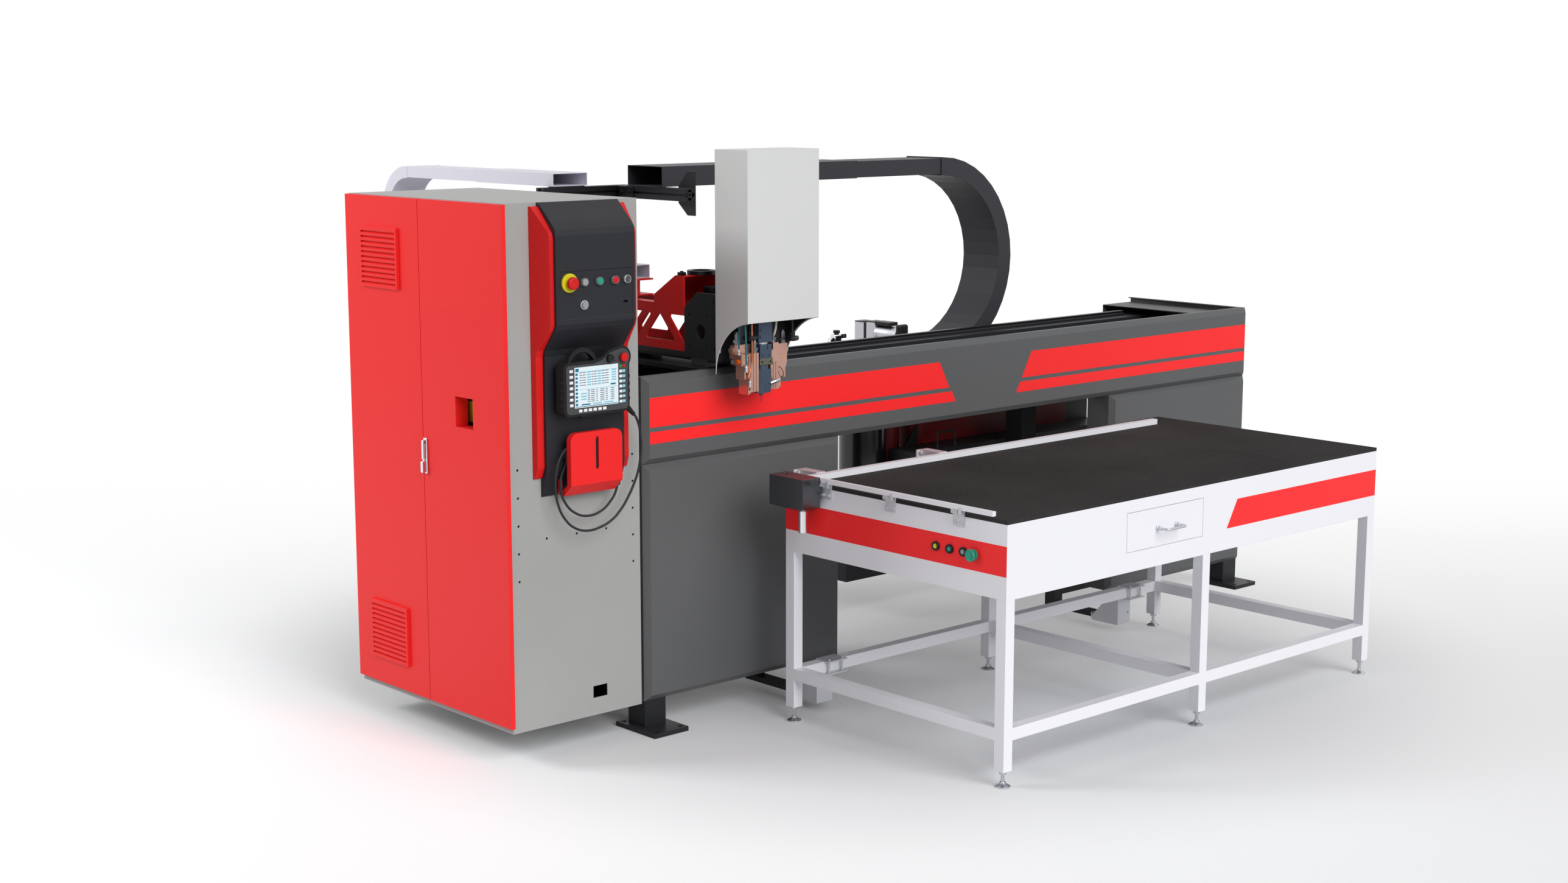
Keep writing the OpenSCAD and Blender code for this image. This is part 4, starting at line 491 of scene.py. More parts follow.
dial_grey = finish("dial_grey", (84, 86, 88), 0.45, relief=0.06, tone=0.05, edge=0.001)
dress(console_black, "console_housing")
dress(red_side, "console_sides")
dress(grey_plastic, "spare_button")
forwards = (0, -1, 0)
panel_face = 1.106
lamp_row = 1.552
spare_row = 1.480
lamps = [("power", -0.763, lens_grey), ("run", -0.704, teal_plastic), ("fault", -0.642, red_plastic)]
lamp_ring_steps = [(0, 0.0158), (0.002, 0.0162), (0.004, 0.0158), (0.0052, 0.0148), (0.0092, 0.0141),
                   (0.0104, 0.0132), (0.0104, 0.0112), (0.0080, 0.0108)]
lamp_lens_steps = [(0.006, 0.0106), (0.0108, 0.0106), (0.0116, 0.0098), (0.0119, 0.006)]
for use, x, colour in lamps:
    turned_piece(lamp_ring_steps, at(x, panel_face, lamp_row), forwards)
    seat(use + "_lamp_ring", plate_steel, "machine_base")
    turned_piece(lamp_lens_steps, at(x, panel_face, lamp_row), forwards)
    seat(use + "_lamp_lens", colour, "machine_base")
spare_x = lamps[0][1]
spare_ring_steps = [(0, 0.0158), (0.002, 0.0162), (0.004, 0.0158), (0.0055, 0.0145), (0.0055, 0.0118),
                    (0, 0.0118)]
turned_piece(spare_ring_steps, at(spare_x, panel_face, spare_row), forwards)
seat("spare_ring", bright_steel, "machine_base")

stop_x = -0.820
collar_steps = [(0, 0.030), (0.006, 0.030), (0.008, 0.028), (0.008, 0.0125), (0, 0.0125)]
turned_piece(collar_steps, at(stop_x, panel_face, lamp_row), forwards)
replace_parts(seat("stop_collar", yellow_plastic, "machine_base"), "panel_fittings")
mushroom_depth = 0.030
mushroom_steps = [(0, 0.011), (0.044, 0.011), (0.046, 0.0175), (0.0475, 0.0195), (0.0545, 0.0200),
                  (0.0580, 0.0190), (0.0592, 0.0170), (0.0590, 0.0145), (0.0600, 0.0138), (0.0600, 0.0095),
                  (0.0594, 0.0060)]
turned_piece(mushroom_steps, at(stop_x, panel_face + mushroom_depth, lamp_row), forwards, 48)
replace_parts(seat("stop_mushroom", red_plastic, "console_estop"), "console_estop")

selector_x = -0.594
selector_place = at(selector_x, panel_face, lamp_row)
selector_steps = [(0.0003, 0.0148), (0.002, 0.0152), (0.005, 0.0148), (0.0062, 0.0140), (0.0095, 0.0134),
                  (0.0104, 0.0126), (0.0104, 0.0112), (0.0070, 0.0110)]
turned_piece(selector_steps, selector_place, forwards)
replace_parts(seat("selector_bezel", bright_steel, "selector_switch"), "selector_switch")
dial_steps = [(0.005, 0.0108), (0.0092, 0.0108), (0.0098, 0.0100), (0.0098, 0.006)]
dial = turned_piece(dial_steps, selector_place, forwards)
ridge = block(at(selector_x - 0.0022, panel_face - 0.0128, lamp_row - 0.0088),
              at(selector_x + 0.0022, panel_face - 0.0090, lamp_row + 0.0088), 0.0008)
one_piece(dial, ridge)
seat("selector_dial", dial_grey, "selector_switch")

# Cable hanger
# The red cover that the cable is wound behind is a node of the frame. A black strip lies in
# its long upright pocket, a little below the face, as painted shade in the pocket.
# A black block in the pocket: painted shade.
block(at(-0.7155, 1.1212, 0.9445), at(-0.7045, 1.1256, 1.0495), 0.002)
seat("hanger_slot_painted_shade", black_plastic, "machine_base")

# Hand pendant
# A grey moulded face in a black rubber bumper with finger ridges down its sides. The screen
# shows plain blocks. The keys are white and pale blue, with one green and one red, all bare.
bumper_rubber = finish("bumper_rubber", (20, 21, 23), 0.62, grain_size=500, relief=0.4, tone=0.1, dust=0.03)
pendant_grey = finish("pendant_grey", (66, 68, 70), 0.5, grain_size=500, relief=0.15, tone=0.05)
key_white = finish("key_white", (238, 238, 240), 0.45, relief=0.05, tone=0.02, edge=0.0006)
key_blue = finish("key_blue", (150, 200, 220), 0.45, relief=0.05, tone=0.02, edge=0.0006)
key_green = finish("key_green", (10, 150, 70), 0.45, relief=0.05, tone=0.02, edge=0.0006)
screen_glass = finish("screen_glass", (226, 240, 246), 0.25, relief=0.0, tone=0.02, edge=0.0005, edge_wear_and_highlight=0.0,
                      coat=0.3)
screen_blue = finish("screen_blue", (130, 196, 214), 0.3, relief=0.0, tone=0.02, edge=0.0003, edge_wear_and_highlight=0.0)
screen_teal = finish("screen_teal", (20, 110, 140), 0.3, relief=0.0, tone=0.02, edge=0.0003, edge_wear_and_highlight=0.0)
screen_grey = finish("screen_marks", (88, 96, 104), 0.4, relief=0.0, tone=0.05, edge=0.0002, edge_wear_and_highlight=0.0)
dress(pendant_grey, "pendant_body")
dress(bumper_rubber, "pendant_bumper")
knob_depth = 1.130
knob_row = 1.304
pendant_stop_x = -0.615
override_x = -0.667
pendant_stop_steps = [(0, 0.007), (0.0295, 0.007), (0.0300, 0.0128), (0.0315, 0.0138), (0.0400, 0.0140),
                      (0.0414, 0.0132), (0.0420, 0.0110), (0.0416, 0.0070)]
turned_piece(pendant_stop_steps, at(pendant_stop_x, knob_depth, knob_row), forwards)
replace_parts(seat("pendant_stop_mushroom", red_plastic, "pendant_estop"), "pendant_estop")
override_steps = [(0, 0.007), (0.0255, 0.007), (0.0262, 0.0128), (0.0280, 0.0130), (0.0375, 0.0124),
                  (0.0392, 0.0110), (0.0392, 0.0092), (0.0380, 0.0080)]
turned_piece(override_steps, at(override_x, knob_depth, knob_row), forwards)
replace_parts(seat("override_dial", black_plastic, "pendant_knob"), "pendant_knob")

ridge_steps = [(0, 0.0085), (0.004, 0.0120), (0.026, 0.0120), (0.030, 0.0085)]
ridge_back = 1.143
bumper_sides = (-0.8360, -0.5870)
ridge_rows = (1.166, 1.190, 1.214, 1.238)
one_piece(*[turned_piece(ridge_steps, at(x, ridge_back, z), forwards, 24)
            for x in bumper_sides for z in ridge_rows])
seat("finger_ridges", bumper_rubber, "pendant")
relief_start = 0.010
relief_radius = 0.0092
rib_pitch = 0.007
rib_taper = 0.0005
groove_depth = 0.0018
relief_steps = [(relief_start, relief_radius)]
for rib in range(5):
    rib_foot = relief_start + rib_pitch * rib
    rib_radius = relief_radius - rib_taper * rib
    groove_radius = rib_radius - groove_depth
    relief_steps += [(rib_foot + 0.0040, rib_radius), (rib_foot + 0.0044, groove_radius),
                     (rib_foot + 0.0068, groove_radius), (rib_foot + 0.0070, rib_radius - 0.0006)]
turned_piece(relief_steps, at(-0.5845, 1.128, 1.1415), (1, 0, -1), 24)
seat("strain_relief_ribs", bumper_rubber, "pendant")
pendant_face = 1.104
block(at(-0.806, pendant_face - 0.0012, 1.1555), at(-0.633, pendant_face + 0.002, 1.2845), 0.0006)
seat("screen", screen_glass, "pendant")


def cells(columns, rows, low, high):
    """Screen fields in millimetres: each column's left and right, between two heights over each row."""
    return [(left, right, row + low, row + high) for row in rows for left, right in columns]


def screen_blocks(name, material, fields):
    """Plain coloured fields on the screen, each (left, right, low, high) in millimetres."""
    one_piece(*[block(at(left / 1000, pendant_face - 0.0016, low / 1000),
                      at(right / 1000, pendant_face - 0.001, high / 1000), 0.0001, 1)
                for left, right, low, high in fields])
    return seat(name, material, "pendant")


long_rows = range(1225, 1268, 8)
headings = [(-803, -790, 1271, 1281), (-780, -745, 1163, 1167), (-664, -644, 1219, 1224),
            (-803, -636, 1158, 1160)]
screen_blocks("screen_headings", screen_teal, headings)
fields = cells([(-757, -743)], long_rows, 0, 4)
fields += cells([(-716, -703)], long_rows, 0, 4)
fields += cells([(-660, -642)], range(1233, 1268, 8), 0, 4)
fields += cells([(-782, -760)], range(1180, 1206, 9), 0, 4)
fields += [(-735, -700, 1163, 1167), (-690, -655, 1163, 1167), (-800, -636, 1269, 1270),
           (-787, -638, 1213, 1214)]
screen_blocks("screen_fields", screen_blue, fields)
upper_marks = [(-787, -778), (-776, -762), (-740, -732), (-730, -719), (-700, -688), (-686, -672)]
lower_marks = [(-756, -746), (-742, -728), (-722, -716), (-706, -690), (-684, -676), (-664, -650)]
marks = cells(upper_marks, long_rows, 1, 3) + cells(lower_marks, range(1171, 1209, 6), 1, 3)
screen_blocks("screen_marks", screen_grey, marks)
screen_blocks("screen_side_keys", screen_teal, cells([(-803, -794)], range(1163, 1262, 12), 0, 7))


def repeat(piece, moves):
    """Copies the finished mesh to further places as part of the same piece."""
    twins = []
    for move in moves:
        twin = piece.copy()
        twin.data = piece.data.copy()
        twin.data.transform(Matrix.Translation(move))
        bpy.context.scene.collection.objects.link(twin)
        twins.append(twin)
    return one_piece(piece, *twins) if twins else piece


def keys(name, material, first, moves, wide=0.013, tall=0.009):
    """A run of equal keys: the first key's centre in x and z, and the steps to the others."""
    x, z = first
    key = block(at(x - wide / 2, pendant_face - 0.0022, z - tall / 2),
                at(x + wide / 2, pendant_face + 0.001, z + tall / 2), 0.0008)
    repeat(key, [Vector((dx, 0, dz)) for dx, dz in moves])
    return seat(name, material, "pendant")


top_key = 1.275
key_pitch = 0.0162
white_x = -0.6235
blue_x = -0.611
white_wide = 0.010
blue_wide = 0.012
down_the_right = [(0, -key_pitch * n) for n in range(1, 7)]
keys("keys_left", key_white, (-0.819, 1.274), [(0, -0.018 * n) for n in range(1, 7)])
keys("keys_below", key_white, (-0.784, 1.146), [(0.019 * n, 0) for n in range(1, 6)])
keys("keys_right_white", key_white, (white_x, top_key - key_pitch), down_the_right, white_wide)
keys("keys_right_blue", key_blue, (blue_x, top_key - key_pitch), down_the_right, blue_wide)
keys("key_start", key_green, (white_x, top_key), [], white_wide)
keys("key_stop", red_plastic, (blue_x, top_key), [], white_wide)

# Portable table
# A welded tube frame, folded sheet apron and guide bars in white paint, a rubber mat, alloy
# clamps and two red bands. The drawer has a bent rod for a handle; the push buttons sit in the
# apron's left side.
white_paint = finish("white_paint", (238, 238, 243), 0.42, grain_size=480, relief=0.1, tone=0.03)
mat_rubber = finish("mat_rubber", (56, 54, 54), 0.9, grain_size=190, relief=1.0, tone=1.1, edge=0.003,
                    edge_wear_and_highlight=0.0, dust=0.0, shine=0.05)
aluminium = finish("aluminium", (196, 198, 204), 0.34, metallic=1.0, grain_size=300, relief=0.06, tone=0.05)
clamp_alloy = finish("clamp_alloy", (204, 205, 210), 0.4, metallic=0.35, grain_size=300, relief=0.05,
                     tone=0.05)
dress(white_paint, "table_frame", "table_apron", "guide_bars", "drawer")
dress(mat_rubber, "table_mat")
dress(clamp_alloy, "table_brackets")


def tube(name, route, radius, material, body):
    """A bent rod or a short fixed pipe through the points of its route, with rounded bends."""
    piece = bent_line(name, [at(*place) for place in route], radius, 5)
    alone()
    piece.select_set(True)
    bpy.context.view_layer.objects.active = piece
    bpy.ops.object.convert(target="MESH")
    bpy.ops.object.shade_smooth_by_angle(angle=math.radians(35))
    return seat(name, material, body)


bow_z = 0.728
bow_left = 0.733
bow_right = 0.831
bow_radius = 0.0044
bow_bend = [(0, -0.018), (0, -0.030), (0.0005, -0.0365), (0.003, -0.0410), (0.0075, -0.0436),
            (0.012, -0.0440)]
bow = [(bow_left + inwards, y, bow_z) for inwards, y in bow_bend]
bow += [(bow_right - inwards, y, bow_z) for inwards, y in reversed(bow_bend)]
tube("drawer_bow", bow, bow_radius, aluminium, "drawer")
bow_foot_steps = [(0, 0.0084), (0.0045, 0.0084), (0.0055, 0.0066), (0.0170, 0.0064), (0.0184, 0.0050)]
for side, x in (("left", bow_left), ("right", bow_right)):
    turned_piece(bow_foot_steps, at(x, 0, bow_z), forwards)
    seat("drawer_bow_foot_" + side, aluminium, "drawer")

button_row = 0.7270
button_depth = 0.022
push_buttons = [("yellow", 0.298, yellow_plastic), ("green", 0.238, teal_plastic), ("grey", 0.180, lens_grey)]
button_ring_steps = [(0, 0.0150), (0.0060, 0.0150), (0.0085, 0.0138), (0.0090, 0.0115), (0.0085, 0.0098),
                     (0.0, 0.0096)]
one_piece(*[turned_piece(button_ring_steps, at(0, y, button_row), leftwards)
            for use, y, colour in push_buttons])
seat("button_bezels", black_plastic, "machine_base")
button_lens_steps = [(0, 0.0085), (0.0285, 0.0085), (0.0300, 0.0072), (0.0304, 0.004)]
for use, y, colour in push_buttons:
    turned_piece(button_lens_steps, at(button_depth, y, button_row), leftwards)
    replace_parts(seat(use + "_push_lens", colour, use + "_button"), use + "_button")

start_y = 0.137
start_row = button_row - 0.003
start_depth = 0.028
start_steps = [(0, 0.0105), (0.040, 0.0105), (0.0405, 0.0150), (0.0412, 0.0192), (0.0425, 0.0200),
               (0.0470, 0.0200), (0.0495, 0.0185), (0.0500, 0.0160), (0.0490, 0.0145), (0.0482, 0.0080)]
turned_piece(start_steps, at(start_depth, start_y, start_row), leftwards, 48)
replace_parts(seat("start_mushroom", teal_plastic, "start_button"), "start_button")
start_collar_steps = [(0, 0.0175), (0.0050, 0.0175), (0.0068, 0.0160), (0.0068, 0.0118), (0.0, 0.0116)]
turned_piece(start_collar_steps, at(0, start_y, start_row), leftwards)
seat("start_collar", teal_plastic, "machine_base")

table_long = 2.008
table_deep = 1.003
front_band_left = 1.111
front_band_slant = 0.056
vinyl_band("apron_band_side", "side", 0, table_deep, 0.674, 0.770, 0)
vinyl_band("apron_band_front", "front", front_band_left, table_long, 0.673, 0.769, 0, front_band_slant, 0)

# Purge box
# A folded stainless box at the table's corner, into which the mixer is flushed, with a bright
# sleeve round the drain pipe under it.
upwards = (0, 0, 1)
stainless = finish("stainless", (112, 114, 118), 0.26, metallic=1.0, grain_size=260, relief=0.04, tone=0.08)
dress(stainless, "purge_box")
sleeve_steps = [(0.006, 0.0128), (0.001, 0.0132), (0, 0.0138), (0, 0.0156), (0.0008, 0.0163), (0.073, 0.0163),
                (0.073, 0.0150)]
turned_piece(sleeve_steps, at(-0.050, 0.862, 0.689), upwards)
seat("drain_sleeve", chrome, "machine_base")

# Supply unit
# A red sheet housing behind the beam with a black and a red tank; both reds are painted dark,
# partly their own colour and partly painted shade under the beam. On its deck lie the pump drive,
# with a motor, two white gearbox halves and black covers, and a small valve.
housing_red_and_painted_shade = finish("housing_red_and_painted_shade", (120, 22, 24), 0.4, grain_size=480, relief=0.1, tone=0.05)
gloss_black = finish("gloss_black", (22, 23, 26), 0.2, relief=0.02, tone=0.05, edge=0.002, edge_wear_and_highlight=0.02,
                     dust=0.02, shine=0.5)
dress(housing_red_and_painted_shade, "supply_cabinet")
tank_y = 2.100
tank_foot = 0.302
tank_steps = [(0, 0.099), (0.620, 0.099), (0.640, 0.092), (0.650, 0.080)]
turned_piece(tank_steps, at(1.430, tank_y, tank_foot), upwards, 64)
seat("tank_jacket", gloss_black, "machine_base")
# The red tank takes the housing's dark red, which is partly painted shade.
small_tank_steps = [(0, 0.0506), (0.580, 0.0506), (0.586, 0.046)]
turned_piece(small_tank_steps, at(1.577, tank_y, tank_foot), upwards, 48)
seat("small_tank_jacket", housing_red_and_painted_shade, "machine_base")

drive_y = 2.250
unit_top = 1.000
drive_deck = 1.045
side_x = 1.643
far_x = 1.703
shelf = block(at(1.340, drive_y - 0.050, drive_deck - 0.010), at(1.870, drive_y + 0.050, drive_deck - 0.0005),
              0.0015)
support = block(at(1.775, drive_y - 0.040, unit_top), at(1.855, drive_y + 0.040, drive_deck - 0.009), 0.002)
rest = block(at(1.652, 2.104, unit_top), at(1.696, 2.364, drive_deck), 0.002)
one_piece(shelf, support, rest)
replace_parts(seat("drive_shelf", plate_steel, "machine_base"), "pump_drive")
gearbox = block(at(side_x, 2.317, drive_deck), at(far_x, 2.370, 1.148), 0.003)
gearbox_end = block(at(side_x, 2.249, drive_deck), at(far_x, 2.299, 1.152), 0.003)
one_piece(gearbox, gearbox_end)
seat("gearbox_halves", white_paint, "machine_base")
covers = [block(at(side_x, 2.317, 1.147), at(far_x, 2.370, 1.152), 0.0015),
          block(at(side_x, 2.249, 1.151), at(far_x, 2.299, 1.156), 0.0015),
          block(at(side_x + 0.004, 2.297, drive_deck + 0.002), at(far_x - 0.004, 2.319, 1.148), 0.001),
          block(at(side_x + 0.003, 2.163, 1.142), at(far_x - 0.003, 2.252, 1.158), 0.003),
          block(at(side_x, 2.100, drive_deck + 0.010), at(far_x, 2.124, 1.153), 0.010, 4)]
one_piece(*covers)
seat("drive_covers", black_plastic, "machine_base")
motor_steps = [(0, 0.036), (0.006, 0.036), (0.010, 0.0335), (0.094, 0.0335), (0.096, 0.036), (0.128, 0.036)]
turned_piece(motor_steps, at((side_x + far_x) / 2 + 0.004, drive_y, 1.106), forwards, 48)
seat("drive_motor", aluminium, "machine_base")

valve = block(at(1.398, drive_y - 0.016, drive_deck - 0.001), at(1.438, drive_y + 0.016, 1.120), 0.006, 3)
union_steps = [(0, 0.008), (0.012, 0.008), (0.014, 0.0105), (0.030, 0.0105)]
union = turned_piece(union_steps, at(1.438, drive_y, 1.080), (1, 0, 0), 24)
gauge_steps = [(0, 0.018), (0.002, 0.019), (0.016, 0.019), (0.018, 0.018), (0.018, 0.0155), (0.015, 0.015)]
gauge = turned_piece(gauge_steps, at(1.377, drive_y - 0.010, 1.0915), forwards)
one_piece(valve, union, gauge)
seat("valve_body", chrome, "machine_base")
stem_steps = [(0, 0.010), (0.004, 0.010), (0.006, 0.0145), (0.015, 0.0145), (0.0175, 0.0125)]
stem = turned_piece(stem_steps, at(1.421, drive_y, 1.119), upwards, 24)
tab_hole = 0.0035
tab = block(at(1.434, drive_y - 0.003, 1.100), at(1.477, drive_y + 0.003, 1.117), 0.001)
one_piece(stem, drilled(tab, tab_hole, at(1.465, drive_y, 1.1085), (math.pi / 2, 0, 0)))
seat("valve_knob", black_plastic, "machine_base")

# Chain post and cable chains
# A black anodised slotted profile carries both closed plastic chains, the long one black and
# the short one white. The long one lies in an open channel folded from black painted sheet.
profile_black = finish("profile_black", (28, 29, 32), 0.36, metallic=0.6, grain_size=300, relief=0.06,
                       tone=0.06)
chain_black = finish("chain_black", (48, 48, 54), 0.5, grain_size=300, relief=0.1, tone=0.06)
chain_white = finish("chain_white", (222, 220, 231), 0.5, grain_size=300, relief=0.1, tone=0.03)
dress(profile_black, "chain_post")
dress(chain_black, "x_chain_entry", "x_chain_middle", "x_chain_bend")
dress(chain_white, "y_chain_upper", "y_chain_bend", "y_chain_lower")
channel_left = -0.404
channel_right = 2.660
channel_front = 1.832
channel_back = 2.054
channel_bevel = 0.0006
sheet_thick = 0.003
channel_floor = block(at(channel_left, channel_front, 1.0167), at(channel_right, channel_back, 1.0197),
                      channel_bevel)
front_wall = block(at(channel_left, channel_front, 1.0170),
                   at(channel_right, channel_front + sheet_thick, 1.1420), channel_bevel)
back_wall = block(at(channel_left, channel_back - sheet_thick, 1.0170),
                  at(channel_right, channel_back, 1.1020), channel_bevel)
rolled_edge = turned_piece([(0, 0.0050), (channel_right - channel_left, 0.0050)],
                           at(channel_left, channel_front, 1.1410), (1, 0, 0), 20)
chain_shelf = block(at(0.157, 1.8345, 1.0957), at(1.120, 2.0515, 1.0987), channel_bevel)
one_piece(channel_floor, front_wall, back_wall, rolled_edge, chain_shelf)
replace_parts(seat("chain_channel", black_paint, "machine_base"), "chain_trough")

# Cross arm
# Laser-cut red side plates and a folded red hood on a black base plate, with black cheeks at
# the head. The belt drive is black too, and so is the column that the head slides on.
arm_black = finish("arm_black", (38, 39, 42), 0.4, grain_size=420, relief=0.1, tone=0.08)
dress(arm_black, "arm_base", "z_column")
dress(black_plastic, "y_drive")
dress(red_paint, "arm_truss", "drive_hood")

# Mixing head
# A pale folded cover over copper-coloured valve blocks and a slate-blue spindle housing. Hoses
# and a bent copper line run up into the cover, and two star knobs are beside the blocks.
head_white = finish("head_white", (214, 215, 214), 0.45, grain_size=420, relief=0.12, tone=0.03)
copper_alloy = finish("copper_alloy", (202, 158, 142), 0.2, metallic=0.75, grain_size=900, relief=0.02,
                      tone=0.05, edge_wear_and_highlight=0.02, dust=0.0)
slate_blue = finish("slate_blue", (62, 76, 96), 0.35, metallic=0.4, grain_size=300, relief=0.06, tone=0.08)
hose_teal = finish("hose_teal", (16, 104, 112), 0.35, relief=0.03, tone=0.04, edge=0.0006, edge_wear_and_highlight=0.0,
                   coat=0.3)
hose_pale = finish("hose_pale", (206, 208, 196), 0.35, relief=0.03, tone=0.04, edge=0.0006, edge_wear_and_highlight=0.0,
                   coat=0.2)
copper_pipe = finish("copper_pipe", (176, 104, 70), 0.26, metallic=1.0, relief=0.03, tone=0.08, edge_wear_and_highlight=0.05)
clamp_metal = finish("clamp_metal", (112, 112, 98), 0.34, metallic=1.0, relief=0.05, tone=0.06)
orange_plastic = finish("orange_plastic", (214, 96, 20), 0.4, relief=0.04, tone=0.04)
dress(head_white, "head_cover")
dress(copper_alloy, "mixing_blocks")
dress(slate_blue, "mixing_spindle")
in_cover = 1.600
left_hose = [(-0.146, 1.075, 1.286), (-0.146, 1.075, 1.340), (-0.140, 1.080, 1.460),
             (-0.128, 1.096, in_cover)]
tube("feed_hose_left", left_hose, 0.003, hose_teal, "head")
front_hose = [(-0.140, 1.045, 1.236), (-0.141, 1.045, 1.300), (-0.140, 1.052, 1.420),
              (-0.118, 1.080, in_cover)]
tube("feed_hose_front", front_hose, 0.003, hose_teal, "head")
air_line = [(0.016, 1.088, 1.322), (0.010, 1.074, 1.330), (0.016, 1.070, 1.366), (0.020, 1.076, 1.450),
            (0.004, 1.092, in_cover)]
tube("air_hose", air_line, 0.004, hose_pale, "head")
copper_run = [(-0.124, 1.045, 1.188), (-0.131, 1.044, 1.196), (-0.121, 1.048, 1.218), (-0.111, 1.050, 1.252),
              (-0.109, 1.052, 1.330), (-0.104, 1.062, 1.450), (-0.090, 1.096, in_cover)]
tube("copper_line", copper_run, 0.0032, copper_pipe, "head")
wire_run = [(0.038, 1.082, 1.218), (0.040, 1.071, 1.212), (0.047, 1.069, 1.198), (0.050, 1.071, 1.187),
            (0.048, 1.082, 1.180)]
tube("probe_wire", wire_run, 0.0013, black_plastic, "head")

fitting_steps = [(0, 0.0062), (0.006, 0.0062), (0.0065, 0.0050), (0.009, 0.0050), (0.0095, 0.0060),
                 (0.015, 0.0060), (0.017, 0.0042), (0.021, 0.0040)]
fitting_feet = [(-0.146, 1.075, 1.271), (-0.140, 1.045, 1.219), (-0.124, 1.045, 1.168)]
coupling_steps = [(0, 0.0045), (0.004, 0.0070), (0.016, 0.0070), (0.018, 0.0080), (0.030, 0.0080),
                  (0.032, 0.0068), (0.040, 0.0068), (0.042, 0.0050)]
flange_steps = [(0, 0.0222), (0.0008, 0.0224), (0.0062, 0.0224), (0.0070, 0.0218)]
fittings = [turned_piece(fitting_steps, at(*foot), upwards, 24) for foot in fitting_feet]
fittings.append(turned_piece(coupling_steps, at(-0.020, 1.060, 1.168), (0.043, 0, 0.009), 24))
fittings.append(turned_piece(flange_steps, at(-0.036, 1.088, 1.300), upwards, 48))
one_piece(*fittings)
seat("hose_fittings", bright_steel, "head")
block(at(-0.0656, 1.0613, 1.2306), at(-0.0064, 1.1150, 1.2534), 0.0012)
seat("spindle_clamp", clamp_metal, "head")
screw_steps = [(0, 0.0036), (0.0010, 0.0036), (0.0014, 0.0030), (0.0014, 0.0018), (0.0004, 0.0016)]
screw_places = [(-0.055, 1.0613, 1.242), (-0.017, 1.0613, 1.242), (-0.135, 1.0500, 1.210),
                (-0.122, 1.0500, 1.158)]
one_piece(*[turned_piece(screw_steps, at(*place), forwards, 18) for place in screw_places])
seat("socket_screws", black_plastic, "head")
cap_steps = [(0, 0.006), (0.004, 0.006), (0.005, 0.0085), (0.008, 0.0085), (0.0085, 0.007)]
turned_piece(cap_steps, at(-0.1505, 1.070, 1.250), leftwards, 24)
seat("bleed_cap", orange_plastic, "head")

lobes = 7
knob_radius = 0.027
hollow_share = 0.74
rod_top = 1.400


def star_knob(x, y, z, thick):
    """A moulded knob with lobes: every other corner of a ring is drawn in, then rounded."""
    alone()
    bpy.ops.mesh.primitive_cylinder_add(vertices=2 * lobes, radius=knob_radius, depth=thick,
                                        location=at(x, y, z))
    piece = bpy.context.object
    bpy.ops.object.mode_set(mode="EDIT")
    mesh = bmesh.from_edit_mesh(piece.data)
    for corner in mesh.verts:
        turn_number = round(math.atan2(corner.co.y, corner.co.x) / (math.pi / lobes))
        corner.select = turn_number % 2 == 0
    mesh.select_flush(True)
    bmesh.update_edit_mesh(piece.data)
    bpy.ops.transform.resize(value=(hollow_share, hollow_share, 1), center_override=at(x, y, z))
    bpy.ops.mesh.select_all(action="SELECT")
    bpy.ops.mesh.bevel(offset=0.0035, segments=3, profile=0.5)
    bpy.ops.object.mode_set(mode="OBJECT")
    bpy.ops.object.shade_smooth_by_angle(angle=math.radians(50))
    hub_steps = [(-0.002, 0.010), (0.020, 0.010), (0.022, 0.004), (rod_top - z, 0.004)]
    hub = turned_piece(hub_steps, at(x, y, z), upwards, 24)
    return one_piece(piece, hub)


arm_low = 1.396
arm_high = 1.406
left_knob = star_knob(-0.102, 1.065, 1.328, 0.014)
right_knob = star_knob(0.083, 1.063, 1.312, 0.015)
left_arm = block(at(-0.110, 1.055, arm_low), at(-0.088, 1.128, arm_high), 0.001)
right_arm = block(at(0.018, 1.104, arm_low), at(0.091, 1.120, arm_high), 0.001)
right_tip = block(at(0.075, 1.053, arm_low), at(0.091, 1.108, arm_high), 0.001)
one_piece(left_knob, right_knob, left_arm, right_arm, right_tip)
seat("star_knobs", black_plastic, "head")

# Studio
# A pale floor that fades into a white surround behind the machine and is painted lighter away from
# the machine, so that the floor near it looks shaded; soft light from the front, and a broad lamp
# behind and to the left that reaches the doors over the cabinet.
floor_width = 160
floor_colour = (0.80, 0.81, 0.825, 1)
alone()
bpy.ops.mesh.primitive_plane_add(size=floor_width, location=(0, 0, 0))
floor = bpy.context.object
floor.name = "floor"
floor_paint = bpy.data.materials.new("floor_paint")
floor_paint.use_nodes = True
tree = floor_paint.node_tree
floor_shader = tree.nodes["Principled BSDF"]
floor_shader.inputs["Base Color"].default_value = floor_colour
floor_shader.inputs["Roughness"].default_value = 0.9
floor_shader.inputs["Specular IOR Level"].default_value = 0.1


def seen_directly(tree):
    """1 where the camera, a reflection or glass looks at it, 0 where it only gives light."""
    rays = tree.nodes.new("ShaderNodeLightPath")
    seen = sum_node(tree, "MAXIMUM", rays.outputs["Is Camera Ray"], rays.outputs["Is Glossy Ray"])
    return sum_node(tree, "MAXIMUM", seen, rays.outputs["Is Transmission Ray"])


def glow(tree, strength):
    """A white glow of the strength that the socket gives."""
    node = tree.nodes.new("ShaderNodeEmission")
    tree.links.new(strength, node.inputs["Strength"])
    return node.outputs[0]


def eased(tree, distance, near, far, at_near=0.0, at_far=1.0):
    """A value that goes smoothly from one number to another between two distances."""
    node = tree.nodes.new("ShaderNodeMapRange")
    node.interpolation_type = "SMOOTHSTEP"
    ends = {"From Min": near, "From Max": far, "To Min": at_near, "To Max": at_far}
    for socket, number in ends.items():
        node.inputs[socket].default_value = number
    tree.links.new(distance, node.inputs["Value"])
    return node.outputs[0]


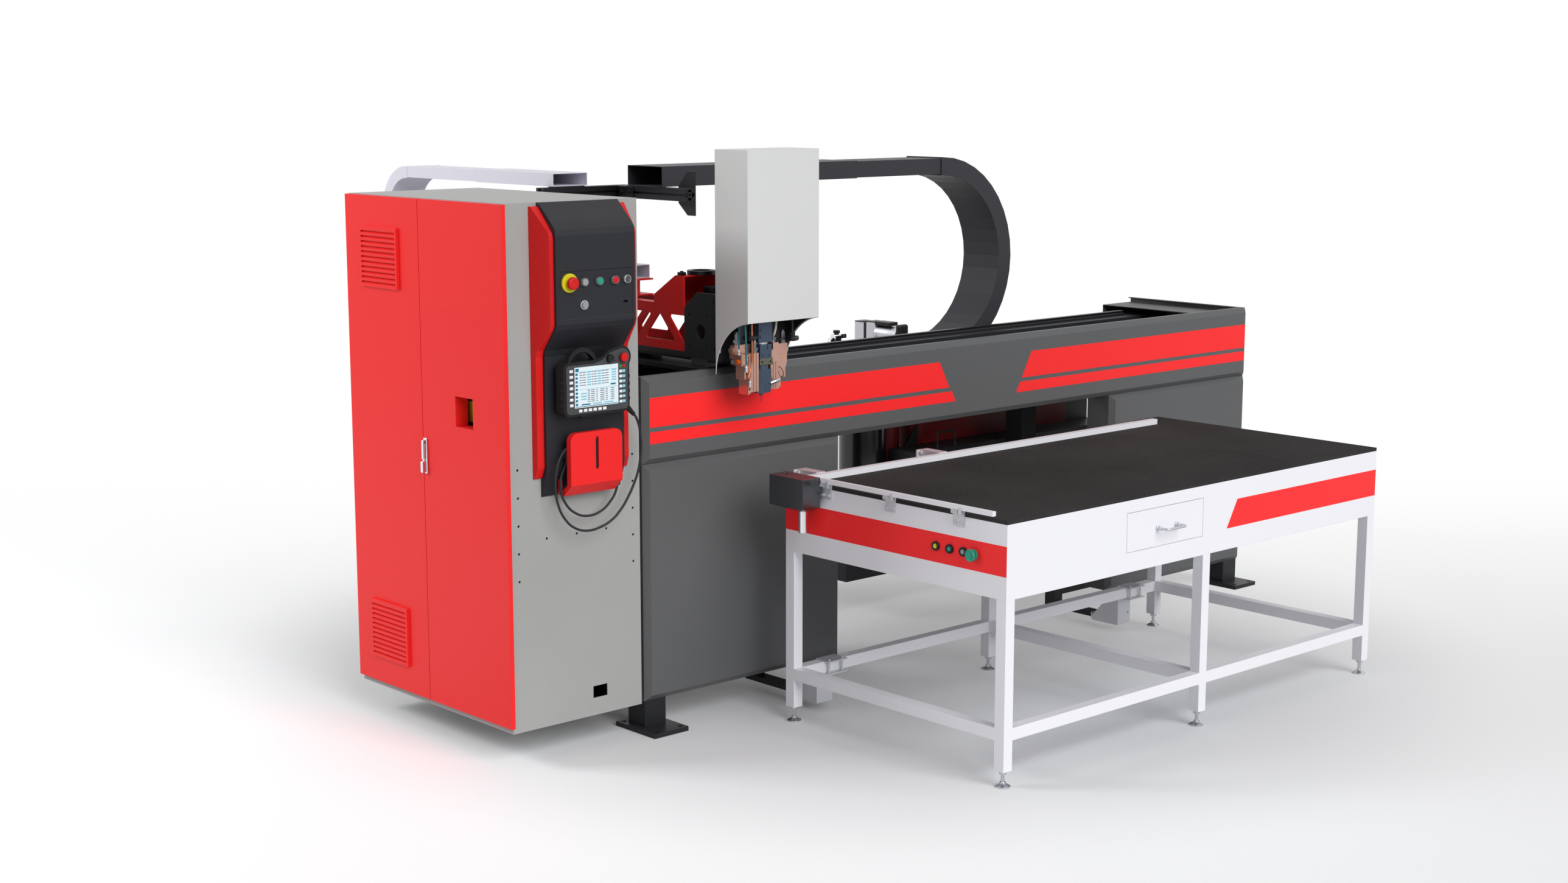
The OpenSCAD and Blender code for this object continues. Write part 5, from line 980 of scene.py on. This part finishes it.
seen = seen_directly(tree)
floor_place = tree.nodes.new("ShaderNodeTexCoord").outputs["Object"]
# The floor glows brighter with distance from the machine: painted light that leaves the floor near it looking
# shaded.
clear = eased(tree, vector_node(tree, "LENGTH", floor_place), 1.5, 2.6, 0.01, 0.25)
lit = tree.nodes.new("ShaderNodeAddShader")
tree.links.new(floor_shader.outputs[0], lit.inputs[0])
tree.links.new(glow(tree, sum_node(tree, "MULTIPLY", seen, clear)), lit.inputs[1])
away = (math.sin(math.radians(lens_turned)), math.cos(math.radians(lens_turned)), 0)
fade = eased(tree, vector_node(tree, "DOT_PRODUCT", floor_place, away), -1.5, 4.0)
surface = tree.nodes.new("ShaderNodeMixShader")
tree.links.new(fade, surface.inputs[0])
tree.links.new(lit.outputs[0], surface.inputs[1])
tree.links.new(glow(tree, seen), surface.inputs[2])
tree.links.new(surface.outputs[0], tree.nodes["Material Output"].inputs["Surface"])
floor.data.materials.append(floor_paint)

even_light = 0.24
world = bpy.data.worlds.new("surround")
bpy.context.scene.world = world
world.use_nodes = True
tree = world.node_tree
seen = seen_directly(tree)
strength = sum_node(tree, "ADD", sum_node(tree, "MULTIPLY", seen, 1 - even_light), even_light)
tree.links.new(strength, tree.nodes["Background"].inputs["Strength"])
tree.nodes["Background"].inputs["Color"].default_value = (1, 1, 1, 1)

sun_from = Vector((-0.05, -0.85, 0.52))
sun_data = bpy.data.lights.new("front_light", "SUN")
sun_data.energy = 2.35
sun_data.angle = math.radians(45)
sun = bpy.data.objects.new("front_light", sun_data)
sun.rotation_euler = sun_from.to_track_quat("Z", "Y").to_euler()
bpy.context.scene.collection.objects.link(sun)
lamp_aim = at(-1.01, 1.65, 1.0)
lamp_data = bpy.data.lights.new("door_light", "AREA")
lamp_data.energy = 235
lamp_data.size = 2.5
lamp = bpy.data.objects.new("door_light", lamp_data)
lamp.location = at(-5.2, 5.2, 4.6)
lamp.rotation_euler = (lamp.location - lamp_aim).to_track_quat("Z", "Y").to_euler()
bpy.context.scene.collection.objects.link(lamp)
bpy.context.scene.view_settings.view_transform = "Standard"
